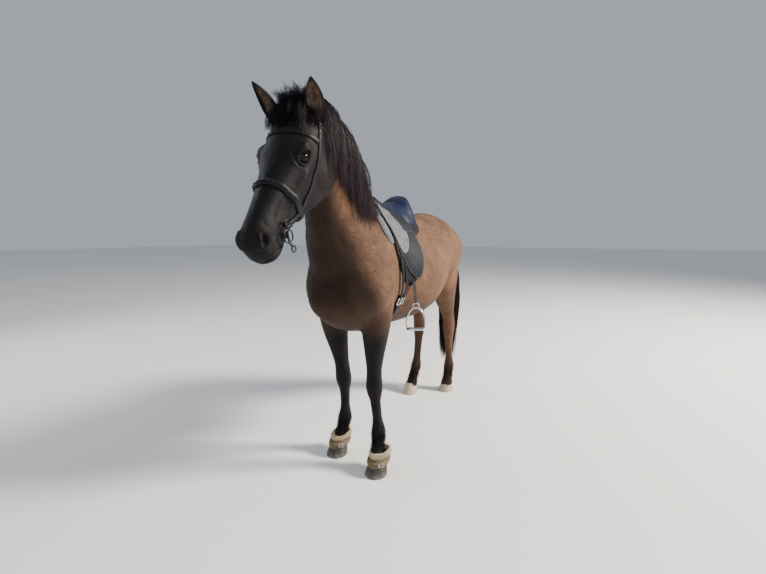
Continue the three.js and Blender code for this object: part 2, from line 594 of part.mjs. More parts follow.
const PANEL_OUTLINE = [
  [258, 1440], [298, 1300], [338, 1190], [340, 1092], [308, 1012], [262, 956], [214, 944],
  [170, 990], [132, 1090], [90, 1185], [-10, 1218], [-70, 1258], [-78, 1440],
];
const FLAP_OUTLINE = [
  [262, 1420], [306, 1300], [334, 1200], [330, 1128], [290, 1066], [236, 1012],
  [188, 974], [156, 990], [122, 1044], [98, 1110], [92, 1190], [66, 1290], [80, 1420],
];
const PATCH_OUTLINE = [
  [254, 1352], [292, 1296], [320, 1220], [318, 1152], [286, 1114], [240, 1120],
  [196, 1168], [154, 1234], [132, 1290], [140, 1352],
];
const FRONT_OUTLINE = [
  [264, 1356], [310, 1330], [358, 1284], [388, 1226], [384, 1180], [350, 1166], [336, 1212], [304, 1290],
];
add("saddle_seat", seat(0).subtract(coat(PANEL + GAP)), BLACK, 0.35);
for (const [word, side] of SIDES) {
  const panel = cutOut(PANEL_OUTLINE, side);
  const besidePanel = cutOut(PANEL_OUTLINE.map(([x, z]) => [x + 1, z]), side);
  const flap = layer(PANEL + GAP, FLAP).intersect(cutOut(FLAP_OUTLINE, side));
  const patch = layer(FLAP + GAP, FLAP + 2.5).intersect(cutOut(PATCH_OUTLINE, side));
  const pad = layer(GAP, PANEL - 2).intersect(cutOut(FRONT_OUTLINE, side));
  add(`saddle_panel_${word}`, layer(GAP, PANEL).intersect(panel), BLACK, 0.6);
  add(`saddle_flap_${word}`, flap.subtract(seat(GAP)), BLACK, 0.4);
  add(`knee_patch_${word}`, patch.subtract(seat(GAP)), GREY);
  add(`front_pad_${word}`, pad.subtract(panel).subtract(besidePanel), GREY);
}

// Girth, its straps and its buckles
function onSide(side, x0, x1, z0, z1) {
  return side > 0 ? block(x0, x1, 60, 400, z0, z1) : block(x0, x1, -400, -60, z0, z1);
}
const GIRTH = { half: 32, thick: 8, top: 905 };
const STRAP_HALF = 10;
const STRAPS = [
  { place: "front", x: GIRTH_X + 18, end: 784 },
  { place: "rear", x: GIRTH_X - 18, end: 806 },
];
const girthRegion = block(GIRTH_X - GIRTH.half, GIRTH_X + GIRTH.half, -400, 400, 600, GIRTH.top);
add("girth", layer(GAP, GIRTH.thick).intersect(girthRegion), BLACK);
for (const [word, side] of SIDES) {
  for (const { place, x, end } of STRAPS) {
    const along = (z0, z1) => onSide(side, x - STRAP_HALF, x + STRAP_HALF, z0, z1);
    const strap = joined([
      layer(GIRTH.thick + GAP, GIRTH.thick + LEATHER).intersect(along(end, GIRTH.top + 4)),
      layer(GIRTH.thick + GAP, PANEL + LEATHER).intersect(along(GIRTH.top + GAP, GIRTH.top + 4)),
      layer(PANEL + GAP, PANEL + LEATHER).intersect(along(GIRTH.top + GAP, 1130)),
    ]);
    const flapEdge = cutOut(FLAP_OUTLINE.map(([fx, fz]) => [fx, fz - 1]), side);
    add(`billet_${place}_${word}`, strap.subtract(flapEdge), BLACK, 0.5);
    const buckle = onSide(side, x - 15.5, x + 15.5, 858, 892);
    const frame = buckle.subtract(onSide(side, x - 11, x + 11, 864, 886));
    const over = GIRTH.thick + LEATHER;
    add(`buckle_${place}_${word}`, layer(over + GAP, over + 4).intersect(frame), STEEL, 0.3, 0.9);
  }
}

// Stirrups: a leather that comes out from under the flap, and an iron on its loop
const flankAt = (x, z) => coat(0).intersect(block(x - 1, x + 1, 0, 400, z - 1, z + 1)).boundingBox().max[1];
const STIRRUP = {
  y: flankAt(STIRRUP_X, 966) + PANEL + LEATHER, swing: 12, top: 956, eye: 850, tread: 710,
  turn: degrees(20),
};
const IRON = [[-46, 6], [-50, 34], [-44, 72], [-24, 106], [0, 116], [24, 106], [44, 72], [50, 34], [46, 6]];
for (const [word, side] of SIDES) {
  const turn = side * STIRRUP.turn;
  const hang = V(STIRRUP_X, side * (STIRRUP.y + STIRRUP.swing), 0);
  const bar = (x, y, z0, z1) => solidOf(new THREE.BoxGeometry(x, y, z1 - z0)
    .rotateZ(turn).translate(hang.x, hang.y, (z0 + z1) / 2));
  const arch = IRON.map(([y, h]) => V(0, y, STIRRUP.tread + h).applyAxisAngle(UP, turn).add(hang));
  const iron = joined([
    rod(arch, () => 9, () => 9, V(1, 0, 0).applyAxisAngle(UP, turn)),
    bar(36, 102, STIRRUP.tread - 4, STIRRUP.tread + 8),
    bar(12, 34, STIRRUP.eye - 26, STIRRUP.eye),
  ]);
  add(`stirrup_iron_${word}`, iron, STEEL, 0.3, 0.9);
  const strap = [V(hang.x, hang.y, STIRRUP.eye + 1), V(hang.x + 6, side * STIRRUP.y, STIRRUP.top)];
  add(`stirrup_leather_${word}`, rod(strap, () => 31, () => LEATHER * 1.4, V(1, 0, 0), 4), BLACK, 0.5);
}

// Front boots: leather over the coronet, a roll of fleece above it and a strap round it.
// Rows: height above the coronet, reach to the front, to the back, half width
const BOOT_RING = 8;
const BOOT = [[-8, 68, 56, 54], [12, 68, 53, 51], [32, 67, 50, 46]];
const FLEECE_ROLL = [[32, 69, 54, 49], [41, 74, 60, 55], [52, 65, 53, 47]];
const BOOT_STRAP = [[0, 72, 60, 58], [18, 72, 57, 55]];
const BOOT_DIP = 0.15; // how far each ring drops towards the toe
const bootSpot = (leg, up) => coronetPoint(leg).add(V(-0.62 * up, 0, up));
function cuff(leg, rows, lift = 0) {
  const rings = rows.map(([up, front, back, half], row) => {
    const end = row === 0 ? -lift : row === rows.length - 1 ? lift : 0;
    return Array.from({ length: BOOT_RING }, (_, i) => {
      const a = (2 * Math.PI * i) / BOOT_RING;
      const x = Math.cos(a) * ((Math.cos(a) > 0 ? front : back) + lift);
      return bootSpot(leg, up + end).add(V(x, Math.sin(a) * (half + lift), -BOOT_DIP * x));
    });
  });
  return solidOf(skinOver(rings));
}
for (const leg of LEGS.slice(0, 2)) {
  const word = leg.name.split("_")[1];
  const limb = solidOf(legSkin(leg, GAP)).add(solidOf(hoofSkin(leg, GAP)));
  const boot = cuff(leg, BOOT, GAP).add(limb);
  add(`boot_${word}`, cuff(leg, BOOT).subtract(limb), TAN);
  add(`boot_fleece_${word}`, cuff(leg, FLEECE_ROLL).subtract(boot), FLEECE);
  add(`boot_strap_${word}`, cuff(leg, BOOT_STRAP).subtract(boot), TAN, 0.6);
}

// The origin goes under the middle of the bounding box.
const bounds = new THREE.Box3().setFromObject(horse);
const centre = bounds.getCenter(V(0, 0, 0));
horse.children.forEach((mesh) => mesh.geometry.translate(-centre.x, -centre.y, -bounds.min.z));

export default horse;
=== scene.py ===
# A life-size Icelandic horse in its tack: skin, hair, hooves, saddle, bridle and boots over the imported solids.
import math

import bmesh
import bpy
import numpy as np
from mathutils import Matrix, Vector
from mathutils.bvhtree import BVHTree


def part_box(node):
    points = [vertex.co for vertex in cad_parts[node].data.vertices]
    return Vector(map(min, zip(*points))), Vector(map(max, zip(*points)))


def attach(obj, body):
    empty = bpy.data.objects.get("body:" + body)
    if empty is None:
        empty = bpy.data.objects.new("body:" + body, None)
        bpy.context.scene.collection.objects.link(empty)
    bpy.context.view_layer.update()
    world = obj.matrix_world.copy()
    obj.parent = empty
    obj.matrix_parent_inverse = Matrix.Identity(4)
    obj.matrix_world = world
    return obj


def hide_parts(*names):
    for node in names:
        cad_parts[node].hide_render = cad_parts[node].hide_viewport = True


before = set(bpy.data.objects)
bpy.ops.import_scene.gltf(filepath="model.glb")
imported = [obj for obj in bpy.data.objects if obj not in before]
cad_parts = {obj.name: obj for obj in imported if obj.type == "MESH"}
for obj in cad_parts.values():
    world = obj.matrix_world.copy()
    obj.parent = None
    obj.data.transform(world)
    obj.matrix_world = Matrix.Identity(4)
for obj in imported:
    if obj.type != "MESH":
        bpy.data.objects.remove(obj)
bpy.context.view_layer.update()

# Driving sizes. Lengths in millimetres are multiplied by MM where they meet the scene's metres.
MM = 0.001
COAT_DEPTH = 1.0
SKIN_VOXEL = 9.0
CURVE_STEPS = 24  # places on a curve between two of the points it passes
TOE = (529, 150)
HEAD_SCALE = 1.03
POLL = np.array([1019.0, 140.0, 1660.0])
HEAD_YAW = math.radians(4.8)
HEAD_PITCH = math.radians(57.4)
HEAD_ROLL = math.radians(2.4)

# The horse's own origin is on the floor under its barrel, and the left fore toe says where that is.
toe_low, toe_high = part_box("forehoof_left")
SHIFT = np.array([toe_high.x - TOE[0] * MM, (toe_low.y + toe_high.y) / 2 - TOE[1] * MM, 0.0])
SIDES = (("left", 1), ("right", -1))
rng = np.random.default_rng(17)


def placed(points):
    """Points in the horse's millimetres, in the scene's metres."""
    return np.asarray(points, float) * MM + SHIFT


def unit(v):
    """Vectors at a length of 1."""
    return v / np.maximum(np.linalg.norm(v, axis=-1, keepdims=True), 1e-9)


def smoothstep(x, low, high):
    """0 below low and 1 above high, with a soft rise between."""
    t = np.clip((np.asarray(x, float) - low) / (high - low), 0, 1)
    return t * t * (3 - 2 * t)


def sizes_along(rows):
    """A smooth curve through each column of a table of sizes, against its first column."""
    table = np.array(rows, float)
    xs, ys = table[:, 0], table[:, 1:]
    step = np.diff(xs)[:, None]
    d = np.diff(ys, axis=0) / step
    slopes = np.vstack([d[:1], np.zeros((len(xs) - 2, ys.shape[1])), d[-1:]])
    product = d[:-1] * d[1:]
    total = np.where(np.abs(d[:-1] + d[1:]) < 1e-12, 1, d[:-1] + d[1:])
    slopes[1:-1] = np.where(product <= 0, 0, 2 * product / total)

    def sizes(x):
        x = np.atleast_1d(np.asarray(x, float))
        i = np.clip(np.searchsorted(xs, x, side="right") - 1, 0, len(xs) - 2)
        h = step[i]
        t = np.clip((x - xs[i])[:, None] / h, 0, 1)
        a, b = ys[i], ys[i + 1]
        return ((2 * t**3 - 3 * t**2 + 1) * a + (t**3 - 2 * t**2 + t) * h * slopes[i]
                + (3 * t**2 - 2 * t**3) * b + (t**3 - t**2) * h * slopes[i + 1])

    return sizes


def turns_of(count):
    """Even turns round a ring, in radians."""
    return np.linspace(0, 2 * np.pi, count, endpoint=False)


def smoothed(line, rounds=3):
    """A line, or rows of points, with its inner places moved towards their neighbours."""
    line = np.array(line, float)
    for _ in range(rounds):
        line[1:-1] = 0.25 * line[:-2] + 0.5 * line[1:-1] + 0.25 * line[2:]
    return line


def looped(ring):
    """A ring of points as a line that ends where it starts."""
    return np.vstack([ring, ring[:1]])


def closed_curve(points, count):
    """Evenly spaced points on a smooth closed curve through the given ones."""
    p1 = np.asarray(points, float)
    p0, p2, p3 = np.roll(p1, 1, 0), np.roll(p1, -1, 0), np.roll(p1, -2, 0)
    d0, d1, d2 = (np.sqrt(np.linalg.norm(b - a, axis=1))[:, None] for a, b in ((p0, p1), (p1, p2), (p2, p3)))
    m1 = ((p1 - p0) / d0 - (p2 - p0) / (d0 + d1) + (p2 - p1) / d1) * d1
    m2 = ((p2 - p1) / d1 - (p3 - p1) / (d1 + d2) + (p3 - p2) / d2) * d1
    t = (np.arange(CURVE_STEPS) / CURVE_STEPS)[:, None, None]
    dense = ((2 * t**3 - 3 * t**2 + 1) * p1 + (t**3 - 2 * t**2 + t) * m1
             + (3 * t**2 - 2 * t**3) * p2 + (t**3 - t**2) * m2)
    dense = dense.transpose(1, 0, 2).reshape(-1, 3)
    return resampled(looped(dense), count + 1)[:-1]


def resampled(line, count):
    """A polyline as evenly spaced points, both ends kept."""
    line = np.asarray(line, float)
    along = np.r_[0, np.cumsum(np.linalg.norm(np.diff(line, axis=0), axis=1))]
    at = np.linspace(0, along[-1], count)
    return np.stack([np.interp(at, along, line[:, k]) for k in range(3)], axis=1)


def open_curve(points, count):
    """Evenly spaced points on a smooth open curve through the given ones."""
    p = np.asarray(points, float)
    p = np.vstack([2 * p[0] - p[1], p, 2 * p[-1] - p[-2]])
    t = (np.arange(CURVE_STEPS) / CURVE_STEPS)[:, None]
    parts = [
        0.5 * (2 * b + (c - a) * t + (2 * a - 5 * b + 4 * c - d) * t**2 + (3 * b - a - 3 * c + d) * t**3)
        for a, b, c, d in zip(p, p[1:], p[2:], p[3:])
    ]
    return resampled(np.vstack([*parts, p[-2:-1]]), count)


def nearest_on(line, points):
    """The nearest place to each point on a polyline, and how far off it is."""
    best, gap = np.zeros_like(points), np.full(len(points), 1e9)
    for a, b in zip(line[:-1], line[1:]):
        a, b = np.asarray(a, float), np.asarray(b, float)
        t = np.clip(((points - a) @ (b - a)) / ((b - a) @ (b - a)), 0, 1)
        place = a + t[:, None] * (b - a)
        off = np.linalg.norm(points - place, axis=1)
        best[off < gap], gap[off < gap] = place[off < gap], off[off < gap]
    return best, gap


def outline(top, bottom, side, shares, widths, count):
    """A section from top to bottom, with half widths at set shares of the way down."""
    top, bottom, side = (np.asarray(v, float) for v in (top, bottom, side))
    down = [top + (bottom - top) * s for s in shares]
    left, right = ([p + side * w * way for p, w in zip(down, widths)] for way in (1, -1))
    return closed_curve([top, *left, bottom, *right[::-1]], count)


def strips(rows, n, around=False):
    """Faces between rings of n points, the last ring joined to the first where they go round."""
    j = np.arange(n)
    k = (j + 1) % n
    pairs = [(r * n, (r + 1) % rows * n) for r in range(rows if around else rows - 1)]
    return np.concatenate([np.stack([a + j, a + k, b + k, b + j], axis=1) for a, b in pairs]).tolist()


def loft(rings, first=None, last=None):
    """Vertices and faces of a closed skin over rings of equal length, with a point at each end."""
    rings = np.asarray(rings, float)
    rows, n = rings.shape[:2]
    first = rings[0].mean(0) if first is None else first
    last = rings[-1].mean(0) if last is None else last
    verts = np.vstack([rings.reshape(-1, 3), first, last])
    j = np.arange(n)
    k = (j + 1) % n
    end = (rows - 1) * n
    faces = strips(rows, n)
    faces += np.stack([np.full(n, rows * n), k, j], axis=1).tolist()
    faces += np.stack([end + j, end + k, np.full(n, rows * n + 1)], axis=1).tolist()
    return verts, faces


def linked(name, data):
    """A new object in the scene, at the origin."""
    obj = bpy.data.objects.new(name, data)
    bpy.context.scene.collection.objects.link(obj)
    return obj


def faced_out(mesh, merge=False):
    """Turns every face of a mesh out, once points that lie together are merged where asked."""
    bm = bmesh.new()
    bm.from_mesh(mesh)
    if merge:
        bmesh.ops.remove_doubles(bm, verts=bm.verts, dist=0.00008)
        bmesh.ops.dissolve_degenerate(bm, edges=bm.edges, dist=0.00002)
    bmesh.ops.recalc_face_normals(bm, faces=bm.faces)
    bm.to_mesh(mesh)
    bm.free()
    mesh.shade_smooth()


def mesh_object(name, verts, faces):
    """An object from points in metres, facing out and shaded smooth."""
    mesh = bpy.data.meshes.new(name)
    mesh.from_pydata(np.asarray(verts).tolist(), [], faces)
    faced_out(mesh)
    return linked(name, mesh)


def joined_mesh(name, parts):
    """One object from several lists of points and faces in the horse's millimetres."""
    verts, faces, count = [], [], 0
    for v, f in parts:
        verts.append(np.asarray(v, float))
        faces += [[i + count for i in face] for face in f]
        count += len(v)
    return mesh_object(name, placed(np.vstack(verts)), faces)


def number(mesh, name, values):
    """One value for each point of a mesh, for its finish to read."""
    layer = mesh.attributes.new(name, "FLOAT", "POINT")
    layer.data.foreach_set("value", np.asarray(values, np.float32))


def read(items, what, wide, kind=np.float32):
    """One property of all the items of a mesh, a row for each."""
    values = np.empty(len(items) * wide, kind)
    items.foreach_get(what, values)
    return values.reshape(-1, wide)


def coords_of(mesh):
    return read(mesh.vertices, "co", 3).astype(float)


def normals_of(mesh):
    return read(mesh.vertex_normals, "vector", 3).astype(float)


def horse_points(mesh):
    """A mesh's points in the horse's millimetres."""
    return (coords_of(mesh) - SHIFT) / MM


def set_coords(mesh, co):
    mesh.vertices.foreach_set("co", np.asarray(co, np.float32).ravel())
    mesh.update()


def settled(co, edges, weight, rounds):
    """Points moved towards the mean of their neighbours, each by its own weight."""
    count = np.bincount(edges.ravel(), minlength=len(co))[:, None]
    for _ in range(rounds):
        total = np.stack([
            np.bincount(edges[:, 0], co[edges[:, 1], k], len(co))
            + np.bincount(edges[:, 1], co[edges[:, 0], k], len(co)) for k in range(3)
        ], axis=1)
        co = co + (total / np.maximum(count, 1) - co) * weight[:, None]
    return co


def calmed(co, edges, weight, rounds):
    """Points settled without drawing in: each round in is followed by one back out."""
    for _ in range(rounds):
        co = settled(co, edges, weight, 1)
        co = settled(co, edges, -1.03 * weight, 1)
    return co


def evaluated(obj):
    """The object with its modifiers made part of its mesh."""
    graph = bpy.context.evaluated_depsgraph_get()
    mesh = bpy.data.meshes.new_from_object(obj.evaluated_get(graph))
    obj.modifiers.clear()
    obj.data = mesh
    return obj


def relief(rows, points):
    """How far muscle and bone raise the skin, alike on both sides. Rows: centre, reach, height."""
    rise = np.zeros(len(points))
    mirrored = np.c_[points[:, 0], np.abs(points[:, 1]), points[:, 2]]
    for row in rows:
        centre, reach, height = np.array(row[:3]), np.array(row[3:6]), row[6]
        d = (((mirrored - centre) / reach) ** 2).sum(1)
        rise += np.where(d < 1, height * (1 - d) ** 2, 0)
    return rise


def raised(verts, faces, rows):
    """Loft points pushed out along their normals by a relief, less the depth that the coat takes."""
    obj = mesh_object("form", verts, faces)
    normal = normals_of(obj.data)
    if ((verts - verts.mean(0)) * normal).sum() < 0:
        normal = -normal
    bpy.data.objects.remove(obj)
    return verts + normal * (relief(rows, verts) - COAT_DEPTH)[:, None], faces


# Trunk. Rows: x, top, bottom, half widths at these shares of the way down
TRUNK_SHARES = [0.04, 0.15, 0.35, 0.6, 0.85, 0.97]
TRUNK = [
    [-746, 1160, 985, 30, 52, 76, 84, 64, 30], [-728, 1218, 925, 46, 88, 132, 146, 112, 52],
    [-680, 1284, 880, 64, 130, 188, 204, 160, 74], [-610, 1328, 862, 80, 158, 222, 238, 186, 84],
    [-530, 1350, 858, 88, 170, 238, 250, 190, 86], [-450, 1355, 856, 92, 174, 240, 248, 180, 80],
    [-370, 1345, 836, 92, 172, 240, 252, 178, 76], [-290, 1329, 786, 92, 170, 242, 268, 194, 80],
    [-200, 1315, 738, 92, 172, 250, 286, 216, 86], [-100, 1309, 708, 92, 174, 254, 292, 226, 88],
    [0, 1314, 698, 86, 164, 246, 284, 222, 88], [90, 1332, 700, 70, 146, 228, 266, 208, 86],
    [180, 1358, 704, 50, 118, 204, 240, 180, 78], [270, 1376, 710, 38, 98, 182, 214, 156, 72],
    [360, 1366, 714, 46, 110, 188, 212, 162, 74], [450, 1330, 722, 60, 128, 194, 216, 172, 78],
    [530, 1262, 744, 70, 134, 184, 200, 162, 76], [600, 1170, 792, 66, 116, 150, 160, 132, 64],
    [645, 1080, 862, 42, 70, 88, 92, 78, 40],
]
TRUNK_RELIEF = [
    [330, 150, 1150, 190, 130, 250, 9], [470, 185, 930, 150, 110, 130, 16], [320, 205, 900, 90, 90, 110, 10],
    [600, 85, 905, 90, 75, 110, 18], [620, 0, 905, 90, 28, 130, -14], [-430, 235, 1215, 60, 80, 50, 10],
    [-560, 200, 1120, 170, 120, 170, 12], [-690, 130, 1080, 110, 90, 170, 10],
    [-745, 0, 1050, 80, 30, 170, -20], [-330, 240, 1010, 90, 90, 150, -9], [-345, 215, 850, 110, 90, 60, 10],
]


def sections(rows, shares, steps, around=90):
    """Upright sections from a table of x, top, bottom and half widths at shares of the way down."""
    sizes = sizes_along(rows)
    rings = []
    for x in np.linspace(rows[0][0], rows[-1][0], steps):
        top, bottom, *widths = sizes(x)[0]
        rings.append(outline([x, 0, top], [x, 0, bottom], [0, 1, 0], shares, widths, around))
    return rings


def trunk_form():
    verts, faces = loft(sections(TRUNK, TRUNK_SHARES, 100), (-758, 0, 1070), (661, 0, 972))
    return raised(verts, faces, TRUNK_RELIEF)


# Neck. Rows: step, crest x and z, throat x and z, shift to the left, half widths down from the crest
NECK_SHARES = [0.05, 0.2, 0.45, 0.72, 0.94]
NECK = [
    [0, 220, 1330, 560, 850, 0, 30, 84, 150, 165, 80], [1, 335, 1382, 640, 975, 0, 34, 84, 150, 162, 80],
    [2, 440, 1440, 694, 1080, 10, 32, 74, 126, 140, 74], [3, 555, 1508, 735, 1165, 26, 30, 64, 98, 108, 62],
    [4, 680, 1580, 778, 1240, 50, 28, 58, 84, 90, 54], [5, 800, 1648, 822, 1312, 84, 30, 57, 80, 84, 50],
    [6, 900, 1684, 868, 1368, 114, 32, 60, 80, 82, 48], [7, 985, 1688, 925, 1405, 136, 32, 58, 72, 72, 42],
]
NECK_SIDE = unit(np.array([-0.1, 1.0, 0.0]))
NECK_RING = 96
neck_sizes = sizes_along(NECK)


def neck_rings(steps):
    """The neck's sections at steps between the rows of its table."""
    rings = []
    for t in steps:
        cx, cz, tx, tz, y, *widths = neck_sizes(t)[0]
        rings.append(outline([cx, y, cz], [tx, y, tz], NECK_SIDE, NECK_SHARES, widths, NECK_RING))
    return np.array(rings)


def neck_form():
    verts, faces = loft(neck_rings(np.linspace(0, 7, 70)))
    return raised(verts, faces, [])


# Head, in its own frame before scaling: x from poll to muzzle, y to the left, z out of the face
def turned(v, axis, angle):
    """A vector turned round an axis."""
    return np.array(Matrix.Rotation(angle, 3, Vector(axis)) @ Vector(v))


FACE_AXIS = np.array([
    math.cos(HEAD_PITCH) * math.cos(HEAD_YAW), math.cos(HEAD_PITCH) * math.sin(HEAD_YAW), -math.sin(HEAD_PITCH),
])
FACE_LEFT = turned([-math.sin(HEAD_YAW), math.cos(HEAD_YAW), 0], FACE_AXIS, HEAD_ROLL)
FACE_OUT = np.cross(FACE_AXIS, FACE_LEFT)
HEAD_TURN = np.stack([FACE_AXIS, FACE_LEFT, FACE_OUT])
HEAD_SHARES = [0.05, 0.2, 0.45, 0.72, 0.93]
HEAD_ROWS = [
    [-60, -40, -150, 26, 42, 50, 48, 30], [-20, -14, -194, 36, 64, 70, 66, 40],
    [20, 2, -230, 46, 78, 82, 79, 50], [70, 9, -256, 52, 86, 90, 86, 58], [120, 11, -268, 56, 89, 93, 89, 62],
    [170, 9, -268, 58, 91, 92, 87, 60], [210, 5, -256, 56, 90, 88, 80, 55], [255, 0, -236, 48, 80, 81, 69, 48],
    [300, -4, -211, 41, 67, 71, 59, 41], [350, -6, -183, 34, 55, 61, 50, 35],
    [396, -7, -161, 30, 47, 53, 45, 32], [436, -7, -151, 28, 43, 50, 45, 34],
    [472, -8, -147, 29, 45, 52, 47, 36], [504, -13, -146, 30, 47, 54, 49, 38],
    [530, -24, -140, 27, 42, 49, 44, 34], [551, -46, -122, 15, 25, 30, 28, 20],
]
HEAD_RELIEF = [
    [186, 99, -25, 54, 48, 40, 25], [148, 78, -8, 34, 30, 26, -6], [262, 76, -76, 60, 30, 17, 5],
    [318, 62, -80, 60, 30, 16, 4], [160, 88, -175, 95, 50, 75, 6], [385, 48, -70, 70, 30, 36, -5],
    [508, 40, -44, 42, 30, 34, 9], [345, 0, -4, 120, 16, 14, 2], [508, 0, -150, 30, 34, 24, 6],
    [300, 0, -215, 150, 26, 50, -10],
]


def head_points(points):
    """Points of the head's own frame in the horse's millimetres."""
    return POLL + HEAD_SCALE * (np.asarray(points, float) @ HEAD_TURN)


def in_head(points):
    """Points in the horse's millimetres, in the head's own frame."""
    return ((np.asarray(points, float) - POLL) @ HEAD_TURN.T) / HEAD_SCALE


def from_face(points):
    """How far points lie from the middle of the face, where 1 is about its edge."""
    return np.linalg.norm((in_head(points) - [270, 0, -105]) / [345, 160, 205], axis=1)


def head_form():
    verts, faces = loft(sections(HEAD_ROWS, HEAD_SHARES, 110), (-64, 0, -98), (561, 0, -82))
    verts, faces = raised(verts, faces, HEAD_RELIEF)
    return head_points(verts), faces


# Legs. Rows: height, shift ahead of the plumb line, reach to the front, reach to the back, half width
FORE = [
    [40, 62, 47, 48, 46], [76, 46, 41, 43, 40], [112, 31, 32, 36, 31], [140, 19, 30, 33, 29],
    [168, 7, 34, 38, 33], [192, 1, 37, 45, 35], [222, -2, 31, 40, 30], [260, -3, 26, 34, 25],
    [350, -1, 29, 35, 28], [398, 2, 40, 44, 40], [428, 4, 44, 47, 44], [462, 4, 43, 44, 42],
    [505, 3, 43, 44, 39], [610, -2, 57, 51, 51], [700, -10, 77, 62, 66], [780, -20, 94, 73, 76],
    [860, -24, 100, 82, 84],
]
HIND = [
    [40, 64, 46, 47, 45], [78, 47, 40, 42, 41], [114, 32, 33, 36, 32], [146, 19, 31, 33, 29],
    [178, 8, 35, 39, 33], [206, 2, 38, 46, 36], [240, -1, 32, 40, 31], [285, -2, 29, 35, 27],
    [400, -3, 33, 37, 30], [462, -4, 44, 44, 38], [500, -5, 51, 54, 42], [540, -6, 54, 66, 43],
    [580, 4, 54, 66, 41], [650, 38, 66, 72, 49], [725, 76, 94, 86, 64], [795, 100, 124, 104, 77],
    [860, 112, 144, 122, 88], [940, 112, 150, 140, 92], [1010, 112, 140, 140, 86],
]
HOOF_AHEAD = 78
LEGS = {
    "foreleg_left": dict(rows=FORE, hoof=(468, 150), joint=(394, 103, 430), top=(424, 124, 860)),
    "foreleg_right": dict(rows=FORE, hoof=(396, -136), joint=(342, -119, 430), top=(420, -142, 860)),
    "hindleg_left": dict(rows=HIND, hoof=(-790, 88), joint=(-752, 112, 540), top=(-697, 126, 900)),
    "hindleg_right": dict(rows=HIND, hoof=(-608, -142), joint=(-710, -112, 540), top=(-697, -126, 900)),
}
HOOF = dict(toe=61, heel=56, half=58, coronet=62, slope=0.42, back=30, shrink=0.77)


def leg_form(leg):
    """A leg about a plumb line from its hoof through its joint to its top."""
    (hx, hy), (jx, jy, jz), (tx, ty, tz) = leg["hoof"], leg["joint"], leg["top"]
    plumb = sizes_along([[0, hx - HOOF_AHEAD, hy], [jz, jx, jy], [tz, tx, ty], [tz + 300, tx, ty]])
    sizes = sizes_along(leg["rows"])
    a = turns_of(48)
    rings = []
    for z in np.linspace(leg["rows"][0][0], leg["rows"][-1][0], 120):
        shift, front, back, half = sizes(z)[0]
        px, py = plumb(z)[0]
        tilt = HOOF["slope"] * (1 - smoothstep(z, 90, 205))
        x = np.cos(a) * (np.where(np.cos(a) > 0, front, back) - COAT_DEPTH)
        y = np.sin(a) * (half - COAT_DEPTH)
        rings.append(np.stack([px + shift + x, py + y, z + tilt * x], axis=1))
    return loft(rings)


# Skin over all of the flesh
def flesh_union():
    """One closed voxel skin over every form of the body."""
    obj = joined_mesh("skin", [trunk_form(), neck_form(), head_form(), *map(leg_form, LEGS.values())])
    remesh = obj.modifiers.new("voxels", "REMESH")
    remesh.mode = "VOXEL"
    remesh.voxel_size = SKIN_VOXEL * MM
    return evaluated(obj)


def divided(obj, inside):
    """Splits the faces whose middle is inside a region, for finer form there."""
    bm = bmesh.new()
    bm.from_mesh(obj.data)
    middles = np.array([f.calc_center_median() for f in bm.faces])
    chosen = inside((middles - SHIFT) / MM)
    bm.faces.ensure_lookup_table()
    edges = {e for i in np.nonzero(chosen)[0] for e in bm.faces[int(i)].edges}
    bmesh.ops.subdivide_edges(bm, edges=list(edges), cuts=1, use_grid_fill=True, smooth=0.6)
    bm.to_mesh(obj.data)
    bm.free()
    obj.data.update()


def near(points, centre, reach):
    """1 at a place and 0 past its reach."""
    d = np.linalg.norm((points - np.asarray(centre, float)) / np.asarray(reach, float), axis=1)
    return 1 - smoothstep(d, 0.35, 1)


def along_line(points, line, width):
    """How close each point is to a polyline: 1 on it, falling off with a width."""
    return np.exp(-((nearest_on(line, points)[1] / width) ** 2))


# Joins of the forms, which the skin rounds over. Rows: centre, reach
JOINS = [
    [(560, 0, 1100), (260, 300, 300)],
    [(330, 0, 1360), (180, 160, 120)],
    [(960, 128, 1500), (170, 170, 260)],
    [(430, 140, 800), (190, 170, 170)],
    [(430, -140, 800), (190, 170, 170)],
    [(-620, 150, 900), (300, 200, 200)],
    [(-620, -150, 900), (300, 200, 200)],
]
EYE = dict(x=213, y=77, z=-42, radius=20)
EYE_TILT = math.radians(14)
NOSTRIL = (514, 41, -43)
MOUTH = [(562, 0, -101), (540, 0, -106), (508, 0, -113), (476, 0, -119), (448, 0, -121)]
# Lines on each side of the face, raised or sunk: cheek ridge, brow, hollows, jaw muscle, folds by the mouth
FACE_LINES = [
    [[(252, -77), (302, -86), (356, -93)], 10, 4.5],
    [[(262, -47), (335, -54), (420, -60)], 15, -3.5],
    [[(176, -22), (213, -13), (248, -27)], 11, 4],
    [[(150, -34), (172, -44)], 13, -4],
    [[(135, -100), (186, -140), (196, -195), (160, -240)], 24, 4],
    [[(222, -112), (246, -160), (232, -215)], 15, -4],
    [[(432, -88), (446, -104), (446, -126)], 4, -1.8],
    [[(420, -84), (432, -104), (430, -128)], 4, -1.5],
    [[(468, -30), (486, -66), (520, -82)], 9, -3],
]
